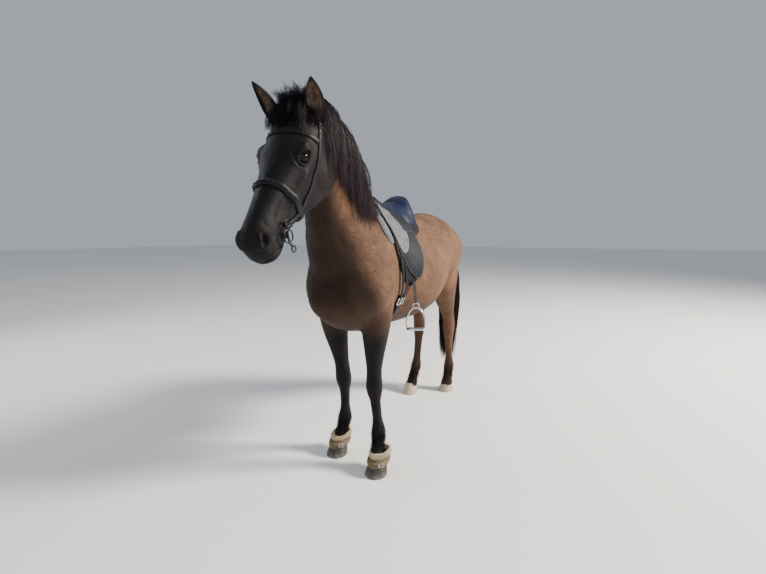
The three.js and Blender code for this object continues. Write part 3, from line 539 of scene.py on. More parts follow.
# Muscle lines on the left side, raised or sunk. Rows: line, width, height
MUSCLES = [
    [[(300, 130, 1330), (430, 190, 1120), (520, 200, 950)], 34, 4],
    [[(330, 190, 1010), (250, 215, 900), (330, 190, 820)], 26, 5],
    [[(380, 200, 1060), (410, 205, 930)], 22, -5],
    [[(590, 150, 1060), (700, 110, 1180), (830, 160, 1330)], 26, -5],
    [[(640, 120, 1230), (760, 130, 1400), (900, 190, 1530)], 34, 4],
    [[(560, 130, 900), (520, 160, 800)], 22, -5],
    [[(-440, 240, 1200), (-400, 240, 1090), (-360, 235, 960)], 26, -5],
    [[(-640, 190, 1230), (-680, 170, 1060), (-690, 150, 900)], 30, -6],
    [[(-560, 215, 1180), (-500, 220, 1010), (-520, 190, 880)], 40, 6],
    [[(-610, 175, 880), (-690, 150, 720)], 26, 4],
    [[(-400, 230, 880), (-470, 200, 830)], 26, 5],
    [[(-120, 285, 900), (120, 262, 850), (290, 212, 830)], 40, -3],
]


def lids_and_nostrils(head):
    """How far the eye sockets, lids, nostrils, lips and mouth move the skin out, in the head's frame."""
    side = np.abs(head[:, 1])
    dx, dz = head[:, 0] - EYE["x"], head[:, 2] - EYE["z"]
    along = dx * math.cos(EYE_TILT) - dz * math.sin(EYE_TILT)
    across = dx * math.sin(EYE_TILT) + dz * math.cos(EYE_TILT)
    almond = (along / 22) ** 2 + (across / (14 + 2 * (across > 0))) ** 2
    by_eye = side > 55
    out = np.where(by_eye, -15 * np.clip(1 - almond, 0, 1) ** 0.35, 0)
    rim = np.sqrt(almond) - 1.16
    out += np.where(by_eye, 4.2 * np.exp(-((rim / 0.2) ** 2)), 0)
    crease = np.sqrt((along / 32) ** 2 + ((across - 2) / 25) ** 2) - 1
    out += np.where(by_eye, -2.6 * np.exp(-((crease / 0.1) ** 2)) * (across > -6), 0)
    nx, nz = head[:, 0] - NOSTRIL[0], head[:, 2] - NOSTRIL[2]
    u, v = nx * 0.82 - nz * 0.57, nx * 0.57 + nz * 0.82
    hole = (u / 19) ** 2 + ((v - 0.012 * u * u + 2) / 10.5) ** 2
    by_nose = smoothstep(side, 15, 33)
    out -= 19 * by_nose * np.clip(1 - hole, 0, 1) ** 0.8
    out += 4.5 * by_nose * np.exp(-(((np.sqrt(hole) - 1.3) / 0.3) ** 2))
    flat = np.c_[head[:, 0], np.zeros(len(head)), head[:, 2]]
    for line, width, height in FACE_LINES:
        out += height * along_line(flat, [(x, 0, z) for x, z in line], width) * (side > 30)
    out -= 4.2 * along_line(flat, MOUTH, 3.4) * (side > 4)
    out += 2.4 * along_line(flat, [(x, 0, z + 11) for x, _, z in MOUTH], 8)
    out += 2.0 * along_line(flat, [(x, 0, z - 12) for x, _, z in MOUTH], 8)
    return out


def head_region(points):
    """Where the skin's faces are split once: the face and the jaw."""
    x, y, z = in_head(points).T
    return (x > 155) & (x < 640) & (np.abs(y) < 140) & (z > -250) & (z < 60)


def fine_region(points):
    """Where they are split again: the muzzle and round the eyes."""
    x, y, z = in_head(points).T
    side = np.abs(y)
    by_eye = (np.hypot(x - EYE["x"], z - EYE["z"]) < 52) & (side < 130) & (side > 55)
    return (x > 440) & (z > -165) & (side < 90) | by_eye


def skin_piece():
    """The finished skin: evened, rounded over the joins, and raised by muscles, lids, nostrils and lips."""
    obj = flesh_union()
    divided(obj, head_region)
    divided(obj, fine_region)
    mesh = obj.data
    edges = read(mesh.edges, "vertices", 2, np.int32)
    co = coords_of(mesh)
    horse = horse_points(mesh)
    co = calmed(co, edges, np.full(len(co), 0.5), 6)
    joins = np.clip(sum(near(horse, centre, reach) for centre, reach in JOINS), 0, 1) * 0.5
    joins *= 1 - near(in_head(horse), (300, 0, -90), (270, 130, 190))
    co = settled(co, edges, joins, 14)
    set_coords(mesh, co)
    horse = (co - SHIFT) / MM
    head = in_head(horse)
    mirrored = np.c_[horse[:, 0], np.abs(horse[:, 1]), horse[:, 2]]
    rise = np.where(head[:, 0] > 150, lids_and_nostrils(head), 0) * near(head, (330, 0, -90), (420, 200, 300))
    for line, width, height in MUSCLES:
        rise += height * along_line(mirrored, line, width)
    set_coords(mesh, co + normals_of(mesh) * (rise * MM)[:, None])
    set_coords(mesh, calmed(coords_of(mesh), edges, np.full(len(co), 0.4), 2))
    mesh.shade_smooth()
    return obj


# Shader maths: a socket that takes Python's operators, and a finish that makes nodes
class Wire:
    """A socket that takes Python's operators, each of which adds its Math node."""

    def __init__(self, finish, socket):
        self.finish, self.socket = finish, socket

    def maths(self, operation, *values):
        return self.finish.node("ShaderNodeMath", {"operation": operation}, dict(enumerate(values)))

    __add__ = __radd__ = lambda self, other: self.maths("ADD", self, other)
    __sub__ = lambda self, other: self.maths("SUBTRACT", self, other)
    __rsub__ = lambda self, other: self.maths("SUBTRACT", other, self)
    __mul__ = __rmul__ = lambda self, other: self.maths("MULTIPLY", self, other)
    __pow__ = lambda self, other: self.maths("POWER", self, other)


class Finish:
    """A material being made, with one method for any node."""

    def __init__(self, name):
        self.material = bpy.data.materials.new(name)
        self.material.use_nodes = True
        self.tree = self.material.node_tree
        self.tree.nodes.clear()

    def node(self, kind, settings=None, values=None, out=0):
        made = self.tree.nodes.new(kind)
        for name, value in (settings or {}).items():
            setattr(made, name, value)
        for name, value in (values or {}).items():
            if isinstance(value, Wire):
                self.tree.links.new(value.socket, made.inputs[name])
            else:
                made.inputs[name].default_value = value
        return Wire(self, made.outputs[out]) if made.outputs else None

    def place(self, stretch=(1, 1, 1), turn=(0, 0, 0)):
        """Object coordinates in metres, stretched and turned."""
        where = self.node("ShaderNodeTexCoord", out="Object")
        return self.node("ShaderNodeMapping", values={"Vector": where, "Scale": stretch, "Rotation": turn})

    def noise(self, scale, detail=3.0, rough=0.5, where=None):
        values = {"Vector": where or self.place(), "Scale": scale, "Detail": detail, "Roughness": rough}
        return self.node("ShaderNodeTexNoise", values=values)

    def attribute(self, name):
        return self.node("ShaderNodeAttribute", {"attribute_name": name}, out="Fac")

    def band(self, value, low, high):
        """0 below low and 1 above high."""
        values = {"Value": value, "From Min": low, "From Max": high}
        return self.node("ShaderNodeMapRange", {"clamp": True}, values)

    def blend(self, fac, first, second, kind="MIX"):
        settings = {"data_type": "RGBA", "blend_type": kind}
        return self.node("ShaderNodeMix", settings, {0: fac, 6: first, 7: second}, out=2)

    def tinted(self, fac, colour, tint):
        """A colour, multiplied by a tint as far as fac says."""
        return self.blend(fac, colour, self.blend(1.0, colour, (*tint, 1), "MULTIPLY"))

    def bump(self, height, distance, strength):
        return self.node("ShaderNodeBump", values={"Height": height, "Distance": distance, "Strength": strength})

    def done(self, **values):
        """Ends the material in one Principled shader, its inputs named with _ for a space."""
        inputs = {name.replace("_", " "): value for name, value in values.items()}
        shader = self.node("ShaderNodeBsdfPrincipled", values=inputs)
        self.node("ShaderNodeOutputMaterial", values={"Surface": shader})
        return self.material


def rgb(hexed):
    """A colour as it looks on a screen, in the shader's linear numbers."""
    parts = [int(hexed[i:i + 2], 16) / 255 for i in (0, 2, 4)]
    return tuple(c / 12.92 if c <= 0.04045 else ((c + 0.055) / 1.055) ** 2.4 for c in parts) + (1,)


BROWN = rgb("583e2e")
PALE_BROWN = rgb("7e5d46")
# The deep brown below is both the coat's darker patches and the colour of the painted shade.
DEEP_BROWN_AND_SHADE = rgb("20150f")
# The faint blue in the point black below is a painted reflection of the sky on black hair.
POINT_BLACK_AND_SKY_TINT = rgb("0c0c10")
CHEEK_BLACK = rgb("1a1210")
MUZZLE_BLACK = rgb("08080a")


def coat_finish(name, loose=False):
    """Short brown hair that darkens to black points, with painted shade on the front of the neck and breast, the
    lower thighs and the belly, and the lie of the hair in its bump.
    """
    f = Finish(name)
    dark, deep, pale = f.attribute("Dark"), f.attribute("DeepAndShade"), f.attribute("Pale")
    patches = f.noise(9.0, 4.0, 0.6)
    drift = f.noise(2.2, 2.0)
    fleck = f.noise(58.0, 3.0, 0.7, f.place((0.5, 1, 1)))
    brown = f.blend(f.band(patches, 0.35, 0.7), BROWN, PALE_BROWN)
    brown = f.blend(f.band(drift, 0.42, 0.66) * 0.4, brown, DEEP_BROWN_AND_SHADE)
    brown = f.blend(pale * 0.6, brown, PALE_BROWN)
    brown = f.blend(f.band(fleck, 0.56, 0.74) * 0.15, brown, rgb("b38a6a"))
    # Painted shade, over a little of the coat's own darker front: the front of the neck and breast, the lower
    # thighs and the belly go to the deep brown.
    brown = f.blend(f.band(deep + (patches - 0.5) * 0.4, 0.1, 0.95) * 0.9, brown, DEEP_BROWN_AND_SHADE)
    black = f.blend(f.attribute("Muzzle"), POINT_BLACK_AND_SKY_TINT, MUZZLE_BLACK)
    black = f.blend(f.attribute("Cheek"), black, CHEEK_BLACK)
    black = f.blend(f.band(f.noise(13.0, 3.0, 0.6), 0.42, 0.66) * 0.5, black, rgb("21160f"))
    # Black points; on the upper forelegs, up to the elbow, the black is painted shade.
    mottled = f.band(dark + (patches - 0.5) * 0.3, 0.12, 0.88)
    colour = f.blend(mottled, brown, black)
    if loose:
        tint = f.attribute("Strand")
        colour = f.tinted(tint * 0.5, colour, (1.5, 1.42, 1.36))
        return f.done(Base_Color=colour, Roughness=0.58 + tint * 0.2, Specular_IOR_Level=0.12)
    hair = f.noise(900.0, 3.0, 0.6, f.place((0.22, 1, 1)))
    tufts = f.noise(340.0, 2.0, 0.5, f.place((1, 1, 0.2)))
    shade = f.band(hair * 0.6 + tufts * 0.4, 0.32, 0.7)
    colour = f.tinted(shade * 0.5, colour, (0.45, 0.42, 0.4))
    height = hair * 0.5 + tufts * 0.3 + f.noise(60.0, 3.0) * 0.8
    return f.done(Base_Color=colour, Roughness=0.66 - mottled * 0.08, Normal=f.bump(height, 0.002, 0.7),
                  Sheen_Weight=0.03, Sheen_Roughness=0.4, Sheen_Tint=(0.4, 0.55, 1.0, 1),
                  Specular_IOR_Level=0.14)


# Markings and painted shade, as shares over the skin and over the hair that grows from it
MARKS_AND_SHADE = ("Dark", "DeepAndShade", "Pale", "Muzzle", "Cheek")


def markings_and_shade(points):
    """Shares of each marking and of the painted shade at points in the horse's millimetres."""
    head = in_head(points)
    x, y, z = points[:, 0], np.abs(points[:, 1]), points[:, 2]
    seen_side = points * [1, 0, 1] + [0, 200, 0]
    in_face = 1 - smoothstep(from_face(points), 0.84, 1.12)
    cheek = near(head, (180, 0, -190), (150, 200, 105)) * in_face
    # Forelegs: black points below the knee, and painted shade where the black carries on up towards the elbow.
    fore = (x > -150) * (1 - smoothstep(z, 600, 960)) * 0.97
    shin = smoothstep(x + 0.25 * z, -640, -560) * 0.4
    hind = (x <= -150) * ((1 - smoothstep(z, 90, 400)) * 0.5 + (1 - smoothstep(z, 330, 640)) * (0.22 + shin))
    ridge = np.exp(-((y / 26) ** 2)) * (z > 1150) * 0.45
    dark = np.clip(np.max([in_face * (0.97 - 0.1 * cheek), fore, hind, ridge], axis=0), 0, 1)
    # Painted shade over the front of the neck and breast, on the side turned from the key lamp, with a little of
    # the coat's own darker brown.
    neck = smoothstep(x - 395 - (z - 811) * 0.75 + (150 - y) * 0.9, -70, 70)
    # Also painted shade, weaker, on the lower hind thighs and under the belly.
    thigh = near(seen_side, (-640, 200, 800), (170, 200, 180)) * 0.35
    under = (1 - smoothstep(z, 690, 790)) * (y < 240) * 0.3
    deep = np.clip(np.max([neck, thigh, under], axis=0), 0, 1)
    pale = near(points, (-260, 240, 950), (420, 200, 260)) + near(points, (230, 200, 1060), (240, 200, 260)) * 0.5
    pale = np.clip(pale + near(seen_side, (-560, 200, 1050), (220, 200, 260)) * 0.6, 0, 1)
    muzzle = np.clip(smoothstep(head[:, 0], 400, 480) * in_face, 0, 1)
    return dark, deep * (1 - dark), pale * (1 - dark), muzzle, cheek


def mark_and_shade(obj, points, each=1):
    """Gives a piece the coat's marks and painted shade found at points, each for so many of its own."""
    for name, values in zip(MARKS_AND_SHADE, markings_and_shade(points)):
        number(obj.data, name, np.repeat(values, each))


def kept(obj, finish, slot, *nodes):
    """Gives a finished piece its material, its body and the solids that it stands for."""
    obj.data.materials.clear()
    obj.data.materials.append(finish)
    if nodes:
        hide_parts(*nodes)
    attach(obj, "root")
    return obj


# Hair: guide lines that hang from the skin, and fine strands that follow each guide
GUIDE_STEPS = 40
PATCH = 0.003  # width on its map of the patch that a strand takes its colour from


class Skin:
    """The skin as a surface to root hair and straps on, in the horse's millimetres."""

    def __init__(self, obj):
        self.points, self.normals = horse_points(obj.data), normals_of(obj.data)
        self.faces = [list(p.vertices) for p in obj.data.polygons]
        self.tree = BVHTree.FromPolygons(self.points.tolist(), self.faces)

    def smooth_normal(self, where, face):
        corners = self.faces[face]
        weight = 1 / (np.linalg.norm(self.points[corners] - where, axis=1) + 0.5)
        return unit(weight @ self.normals[corners])

    def nearest(self, point):
        where, _, face, _ = self.tree.find_nearest(Vector(point))
        return np.array(where), self.smooth_normal(np.array(where), face)

    def hit(self, start, way):
        where, _, face, _ = self.tree.ray_cast(Vector(start), Vector(way).normalized())
        return (np.array(where), self.smooth_normal(np.array(where), face)) if where else None

    def lifted(self, point, clear):
        """The point, or the one over it at a clearance where it would be lower."""
        where, normal = self.nearest(point)
        height = (np.asarray(point) - where) @ normal
        return point if height > clear else where + normal * clear


def hung(skin, root, way, length, clear, steps, droop, stiff, lean=(0, 0, 0)):
    """A line that leaves its root one way, bends down under its weight and rests on the skin."""
    p, d = np.array(root, float), unit(np.array(way, float))
    line = [p]
    for i in range(steps):
        pull = np.array([0, 0, -droop * (stiff + i / steps * 1.3)])
        d = unit(d + (pull + np.asarray(lean) * max(0, 1 - i / 3)))
        room = clear * min(1, (i + 1) / 2)
        q = skin.lifted(p + d * length / steps, room)
        d = unit(0.4 * d + 0.6 * unit(q - p))
        p = skin.lifted(p + d * length / steps, room)
        line.append(p)
    return np.array(line)


def strands(guides, each, spread, thickness, steps, curl, tip, ragged=0.28, stray=0.07):
    """Fine strands round guides, as points (strand, step, 3) with a frame, and which guide each follows."""
    guides = np.array([resampled(g, GUIDE_STEPS) for g in guides])
    owner = np.repeat(np.arange(len(guides)), each)
    count = len(owner)
    ends = 1 - ragged * rng.random(count) ** 1.6
    s = np.linspace(0, 1, steps)[None, :] * ends[:, None]
    place = s * (GUIDE_STEPS - 1)
    low = np.clip(place.astype(int), 0, GUIDE_STEPS - 2)
    part = (place - low)[..., None]
    base = guides[owner[:, None], low] * (1 - part) + guides[owner[:, None], low + 1] * part
    flow = unit(np.gradient(base, axis=1))
    up = unit(np.cross(flow, [0.2, 1, 0.1]))
    side = unit(np.cross(flow, up))
    angle = rng.random(count) * 2 * np.pi
    radius = np.sqrt(rng.random(count)) * spread
    swell = 0.45 + 0.75 * np.sin(np.pi * np.clip(s * 0.9 + 0.12, 0, 1)) - (1 - tip) * s * 0.6
    phase = rng.random(len(guides))[owner] * 2 * np.pi + rng.random(count) * 0.9
    wave = curl * np.sin(phase[:, None] + s * (5 + 3 * rng.random(count))[:, None]) * s
    loose = (rng.random(count) < stray)[:, None] * s**1.5 * rng.normal(0, 10, count)[:, None]
    a = (np.cos(angle) * radius)[:, None] * swell + wave + loose
    b = (np.sin(angle) * radius)[:, None] * swell * 0.7 + wave * 0.4 + loose * rng.normal(0, 0.6, count)[:, None]
    points = base + side * a[..., None] + up * b[..., None]
    return dict(points=points, up=up, width=thickness * (0.75 + 0.5 * rng.random(count)), owner=owner)


def strand_piece(name, hair, homes):
    """One mesh of three-sided, tapering strands. homes: where each strand's root lies on an unwrapped skin."""
    points, owner = hair["points"], hair["owner"]
    count, steps = points.shape[:2]
    flow = unit(np.gradient(points, axis=1))
    side = unit(np.cross(flow, hair["up"]))
    top = np.cross(side, flow)
    s = np.linspace(0, 1, steps)
    half = hair["width"][:, None, None] / 2 * (1 - s[None, :, None] ** 3 * 0.7)
    corners = [points + side * half * c + top * half * t * 0.7 for c, t in ((1, -0.5), (-1, -0.5), (0, 1))]
    rings = np.stack([c[:, :-1] for c in corners], axis=2)
    per = (steps - 1) * 3 + 1
    verts = np.concatenate([rings.reshape(count, -1, 3), points[:, -1:]], axis=1)
    faces = []
    for a, b, c, d in strips(steps - 1, 3):
        faces += [(a, b, c), (a, c, d)]
    last = (steps - 2) * 3
    faces = np.array(faces + [(last + k, last + (k + 1) % 3, per - 1) for k in range(3)] + [(0, 2, 1)])
    sample = verts[0][faces]
    facing = np.cross(sample[:, 1] - sample[:, 0], sample[:, 2] - sample[:, 0])
    if (facing * (sample.mean(1) - verts[0].mean(0))).sum() < 0:
        faces = faces[:, ::-1]
    faces = (faces[None] + (np.arange(count) * per)[:, None, None]).reshape(-1, 3)
    mesh = triangles(name, placed(verts.reshape(-1, 3)), faces)
    along = np.r_[np.repeat(s[:-1], 3), 1]
    across = np.r_[np.tile([0.0, 0.5, 1.0], steps - 1), 0.5]
    number(mesh, "Along", np.tile(along, count))
    number(mesh, "Strand", np.repeat(rng.random(count), per))
    number(mesh, "Clump", np.repeat(rng.random(int(owner.max()) + 1)[owner], per))
    corner_uv = np.repeat(homes, per, axis=0) + PATCH * np.tile(np.c_[across, along], (count, 1))
    layer = mesh.uv_layers.new(name="OFBake")
    layer.data.foreach_set("uv", corner_uv[faces.ravel()].astype(np.float32).ravel())
    return linked(name, mesh)


def triangles(name, verts, faces):
    """A mesh of triangles, made at once."""
    mesh = bpy.data.meshes.new(name)
    mesh.vertices.add(len(verts))
    mesh.vertices.foreach_set("co", np.asarray(verts, np.float32).ravel())
    mesh.loops.add(faces.size)
    mesh.loops.foreach_set("vertex_index", np.asarray(faces, np.int32).ravel())
    mesh.polygons.add(len(faces))
    mesh.polygons.foreach_set("loop_start", np.arange(0, faces.size, 3, dtype=np.int32))
    mesh.update(calc_edges=True)
    mesh.shade_smooth()
    return mesh


def homes_of(owner, rows, columns):
    """Root places of strands on an unwrapped patch of skin, one cell for each guide, none on another."""
    cell = np.c_[owner % columns, owner // columns].astype(float)
    each = len(owner) // (owner[-1] + 1)
    index = np.arange(len(owner)) % each
    side = math.ceil(math.sqrt(each))
    inner = np.c_[index % side, index // side] / side
    return 0.01 + 0.98 * (cell + inner * 0.92) / [columns, rows]


# Mane. Rows: step along the neck, length, lift off the crest, share of the hair's depth that it keeps
MANE_GUIDES = (150, 3)
MANE_LENGTH = [[1.2, 2, 3, 3.7, 4.5, 5.5, 6.2, 7], [130, 235, 350, 410, 410, 385, 370, 340]]
MANE_LIFT = [[1, 2, 4, 5, 5.8, 7], [0.5, 0.85, 0.9, 0.6, 0.15, 0]]
MANE_CLOSE = [[5.2, 6.6], [1, 0.35]]


def mane_guides(skin):
    """Guides rooted in three rows along the crest, most of them falling to the left."""
    lines = []
    columns, rows = MANE_GUIDES
    for i in range(columns):
        t = 1.2 + 5.75 * (i + 0.5) / columns
        top = neck_rings([t])[0][0]
        ahead, behind = (neck_rings([step])[0][0] for step in (min(t + 0.1, 7), max(t - 0.1, 0)))
        crest = unit(ahead - behind)
        left = unit(np.cross([0, 0, 1], crest))
        up = np.cross(crest, left)
        long, lift, close = (np.interp(t, *table) for table in (MANE_LENGTH, MANE_LIFT, MANE_CLOSE))
        for row in range(rows):
            root, normal = skin.nearest(top + left * (row - 1) * 11 + up * 12)
            falls_left = rng.random() < (0.62, 0.86, 0.97)[row]
            turn = 1 if falls_left else -1
            length = long * rng.uniform(0.72, 1.08) * (1 if falls_left else 0.62)
            way = up * lift * rng.uniform(0.6, 1.2) + left * turn * rng.uniform(0.4, 1.0)
            way = way + crest * rng.normal(0, 0.2)
            clear = (rng.uniform(4, 26) + (2 - row) * 6 * (1 if falls_left else 0.3)) * close
            lines.append(hung(skin, root - normal * 3, way, length, clear, 14, 0.95, 0.3, left * turn * 0.3))
    return lines


FORELOCK_GUIDES = (13, 9)


def forelock_guides(skin):
    """Guides rooted between the ears, standing up and falling over the forehead."""
    lines = []
    columns, rows = FORELOCK_GUIDES
    for i in range(columns):
        for j in range(rows):
            x, y = -34 + 74 * j / 8 + rng.normal(0, 2), -44 + 88 * (i + 0.5) / 13 + rng.normal(0, 2)
            root, normal = skin.nearest(head_points([[x, y, 30]])[0])
            upright = rng.random()
            falls = upright < 0.62
            length = rng.uniform(85, 150) if falls else rng.uniform(38, 82)
            way = normal * 0.8 + np.array([0, 0, 0.5 * upright]) + FACE_LEFT * (y / 90 + rng.normal(0, 0.2))
            way = way + FACE_AXIS * (rng.normal(0.7, 0.3) if falls else rng.normal(-0.1, 0.35))
            droop = 0.75 if falls else 0.1
            lines.append(hung(skin, root - normal * 3, way, length, rng.uniform(3, 22), 9, droop, 0.2))
    return lines


TAIL_LINE = [
    (-690, 0, 1232), (-748, 12, 1204), (-792, 36, 1136), (-820, 66, 1040),
    (-836, 84, 900), (-842, 84, 700), (-842, 76, 480), (-838, 70, 200),
]
TAIL_CURVE = open_curve(TAIL_LINE, 200)
TAIL_GUIDES = (24, 10)
TAIL_WIDTH = 84


def tail_guides():
    """Guides rooted round the dock, hanging in a bundle that widens and then thins."""
    lines = []
    columns, rows = TAIL_GUIDES
    for i in range(columns):
        for j in range(rows):
            root = 0.03 + 0.33 * (i + rng.random()) / columns
            end = rng.uniform(0.82, 1.0)
            turn = 2 * np.pi * (j + rng.random()) / rows
            out = rng.uniform(0.35, 1.0)
            s = np.linspace(0, 1, 14)
            at = TAIL_CURVE[np.clip((199 * (root + (end - root) * s)).astype(int), 0, 199)]
            dock = (30 - 40 * root) * (1 - smoothstep(s, 0, 0.3))
            width = dock + TAIL_WIDTH * out * smoothstep(s, 0, 0.35) * (1 - 0.35 * s**2)
            swing = turn + rng.normal(0, 0.5) * s
            lines.append(at + np.stack([np.cos(swing) * width * 0.62, np.sin(swing) * width, 0 * s], axis=1))
    return lines


# Loose hair of the coat: short over the body, shorter on the face, long behind each fetlock
def coat_roots(obj, count, wanted):
    """Places on the skin, their normals, chosen by area and by how much hair is wanted there."""
    mesh = obj.data
    mesh.calc_loop_triangles()
    corners = read(mesh.loop_triangles, "vertices", 3, np.int32)
    points, normals = horse_points(mesh), normals_of(mesh)
    a, b, c = (points[corners[:, k]] for k in range(3))
    area = np.linalg.norm(np.cross(b - a, c - a), axis=1) * wanted((a + b + c) / 3)
    chosen = rng.choice(len(corners), count, p=area / area.sum())
    u, v = rng.random(count), rng.random(count)
    u, v = np.where(u + v > 1, 1 - u, u), np.where(u + v > 1, 1 - v, v)
    share = np.stack([1 - u - v, u, v], axis=1)[..., None]
    return (points[corners[chosen]] * share).sum(1), unit((normals[corners[chosen]] * share).sum(1))


def lie_of_hair(points):
    """Which way the hair lies: back and down on the body, down the legs and down the face."""
    face = (1 - smoothstep(from_face(points), 0.9, 1.1))[:, None]
    leg = (1 - smoothstep(points[:, 2], 560, 800))[:, None]
    body = np.array([-1.0, 0, -0.75]) * (1 - leg) + np.array([-0.15, 0, -1.0]) * leg
    return body * (1 - face) + FACE_AXIS * face


def coat_hair(obj, name, count, wanted, length, rise, width):
    """Tapering hairs that lie along the coat and lift off it towards their tips."""
    points, normal = coat_roots(obj, count, wanted)
    way = lie_of_hair(points) + rng.normal(0, 0.16, (count, 3))
    way = unit(way - normal * (way * normal).sum(1)[:, None])
    s = np.linspace(0, 1, 4)
    length = length(points) * rng.uniform(0.6, 1.15, count)
    line = points[:, None] - normal[:, None] * 0.8 + way[:, None] * (s[None, :, None] * length[:, None, None])
    line = line + normal[:, None] * (0.8 + (rise * length[:, None] * np.sin(s * 1.7)[None, :])[..., None])
    hair = dict(points=line, up=np.repeat(normal[:, None], 4, axis=1),
                width=width * rng.uniform(0.7, 1.3, count), owner=np.zeros(count, int))
    side = (points[:, 1] > 0) * 0.5
    homes = np.c_[0.01 + side + 0.48 * (points[:, 0] + 900) / 2400, 0.01 + 0.97 * points[:, 2] / 1950]
    piece = strand_piece(name, hair, homes)
    mark_and_shade(piece, points, len(piece.data.vertices) // count)
    return piece


# Ears: a thin cup along a line, open to the front, with hair inside
EARS = {
    "ear_left": dict(base=(42, 78, -44), reach=(62, 20, 110), open=(0.8, 0.55, -0.35)),
    "ear_right": dict(base=(50, -79, -44), reach=(64, -54, 140), open=(0.85, -0.14, -0.35)),
}
EAR_ROWS = [
    [-0.12, 12, -0.6], [0, 22, -0.5], [0.12, 26, -0.3], [0.25, 29.5, 0.1], [0.42, 31, 0.6], [0.6, 27, 0.78],
    [0.8, 17.5, 0.74], [0.92, 9, 0.7], [0.985, 3.4, 0.6],
]
EAR_WALL = 3.6


def ear_piece(name, e):
    """A cup of one thin wall, with how deep in it each point is."""
    base, reach = head_points([e["base"]])[0], np.array(e["reach"], float)
    along = unit(reach)
    front = np.array(e["open"], float)
    front = unit(front - along * (front @ along))
    side = np.cross(along, front)
    sizes = sizes_along(EAR_ROWS)
    rings, inside = [], []
    for share in np.linspace(-0.12, 0.985, 46):
        half, cup = sizes(share)[0]
        bend = front * 5 * smoothstep(share, 0.55, 1) * share + front * -4 * math.sin(math.pi * max(share, 0))
        wall = min(EAR_WALL, half * 0.4)
        a = np.pi * 1.16 * (np.arange(26) / 25 - 0.5)  # round the outside
        b = np.pi * 1.1 * (0.5 - (np.arange(22) + 0.5) / 22)  # and back round the cup
        at = lambda angle, r, depth: (base + reach * share + bend + side * (np.sin(angle) * r)[:, None]
                                      - front * (np.cos(angle) * r * depth)[:, None])
        fold = 1 + 0.05 * np.cos(5 * b)
        rings.append(np.vstack([at(a, np.full(26, half), 0.85), at(b, (half - wall) * fold, cup)]))
        inside.append(np.r_[np.zeros(26), smoothstep(np.cos(b), 0.2, 0.75) * smoothstep(share, 0.06, 0.36)
                            * (1 - smoothstep(share, 0.72, 0.98))])
    verts, faces = loft(rings, base + reach * -0.15, base + reach * 1.0 - front * 1)
    obj = mesh_object(name + "_skin", placed(verts), faces)
    number(obj.data, "Inside", np.r_[np.concatenate(inside), 0, 0])
    return obj


def ear_finish():
    """Short black-brown hair outside and on the rim, tan hair in the cup."""
    f = Finish("ear_coat")
    hair = f.noise(700.0, 3.0, 0.6, f.place((1, 1, 0.18)))
    outer = f.blend(f.band(hair, 0.3, 0.75), rgb("0e0c0d"), rgb("241c1a"))
    tuft = f.noise(75.0, 4.0, 0.7, f.place((1, 1, 0.4)))
    inner = f.blend(f.band(hair * 0.45 + tuft * 0.55, 0.38, 0.62), rgb("17110f"), rgb("66503f"))
    edge = f.band(f.attribute("Inside") + (f.noise(160.0, 3.0) - 0.5) * 0.5, 0.3, 0.7)
    return f.done(Base_Color=f.blend(edge, outer, inner), Roughness=0.65, Normal=f.bump(hair + tuft, 0.0014, 0.7),
                  Sheen_Weight=0.05, Sheen_Roughness=0.4, Specular_IOR_Level=0.2)


# Eyes: a ball with a clear bulge over a dark iris and a wide pupil
def eye_piece(name, side):
    """A ball with its bulge, and each point's place across and up its front."""
    centre = head_points([[EYE["x"], side * EYE["y"], EYE["z"]]])[0]
    way = unit(FACE_LEFT * side + FACE_AXIS * 0.12 + FACE_OUT * 0.12)
    flat = unit(FACE_AXIS - way * (FACE_AXIS @ way))
    up = np.cross(way, flat)
    a = turns_of(56)
    r = EYE["radius"] - 0.6
    ring = np.outer(np.cos(a), flat) + np.outer(np.sin(a), up)
    rings, mids = [], []
    for turn in np.linspace(0.04, np.pi - 0.08, 40):
        bulge = 1.6 * (1 - smoothstep(turn, 0.35, 0.85))
        rings.append(centre + way * (math.cos(turn) * (r + bulge)) + ring * math.sin(turn) * (r + bulge * 0.3))
        mids.append(np.stack([np.cos(a), np.sin(a)]) * math.sin(turn) * r / EYE["radius"])
    verts, faces = loft(rings, centre + way * (r + 1.6), centre - way * r)
    obj = mesh_object(name + "_ball", placed(verts), faces)
    for axis, values in zip(("Across", "Upward"), np.concatenate([*mids, np.zeros((2, 2))], axis=1)):
        number(obj.data, axis, values)
    return obj


def eye_finish():
    """A wide black pupil in a dark brown iris, under a clear coat."""
    f = Finish("eye")
    x, z = f.attribute("Across"), f.attribute("Upward")
    out = (x * x + z * z) ** 0.5
    pupil = ((x * x) * 2.2 + (z * z) * 9.0) ** 0.5
    rays = f.noise(900.0, 4.0, 0.7)
    iris = f.blend(rays, rgb("0a0605"), rgb("160d08"))
    colour = f.blend(f.band(pupil, 0.62, 0.8), rgb("050608"), iris)
    colour = f.blend(f.band(out, 0.78, 0.9), colour, rgb("120d0b"))
    return f.done(Base_Color=colour, Roughness=0.05, Coat_Weight=0.12, Coat_Roughness=0.02, Specular_IOR_Level=0.1)


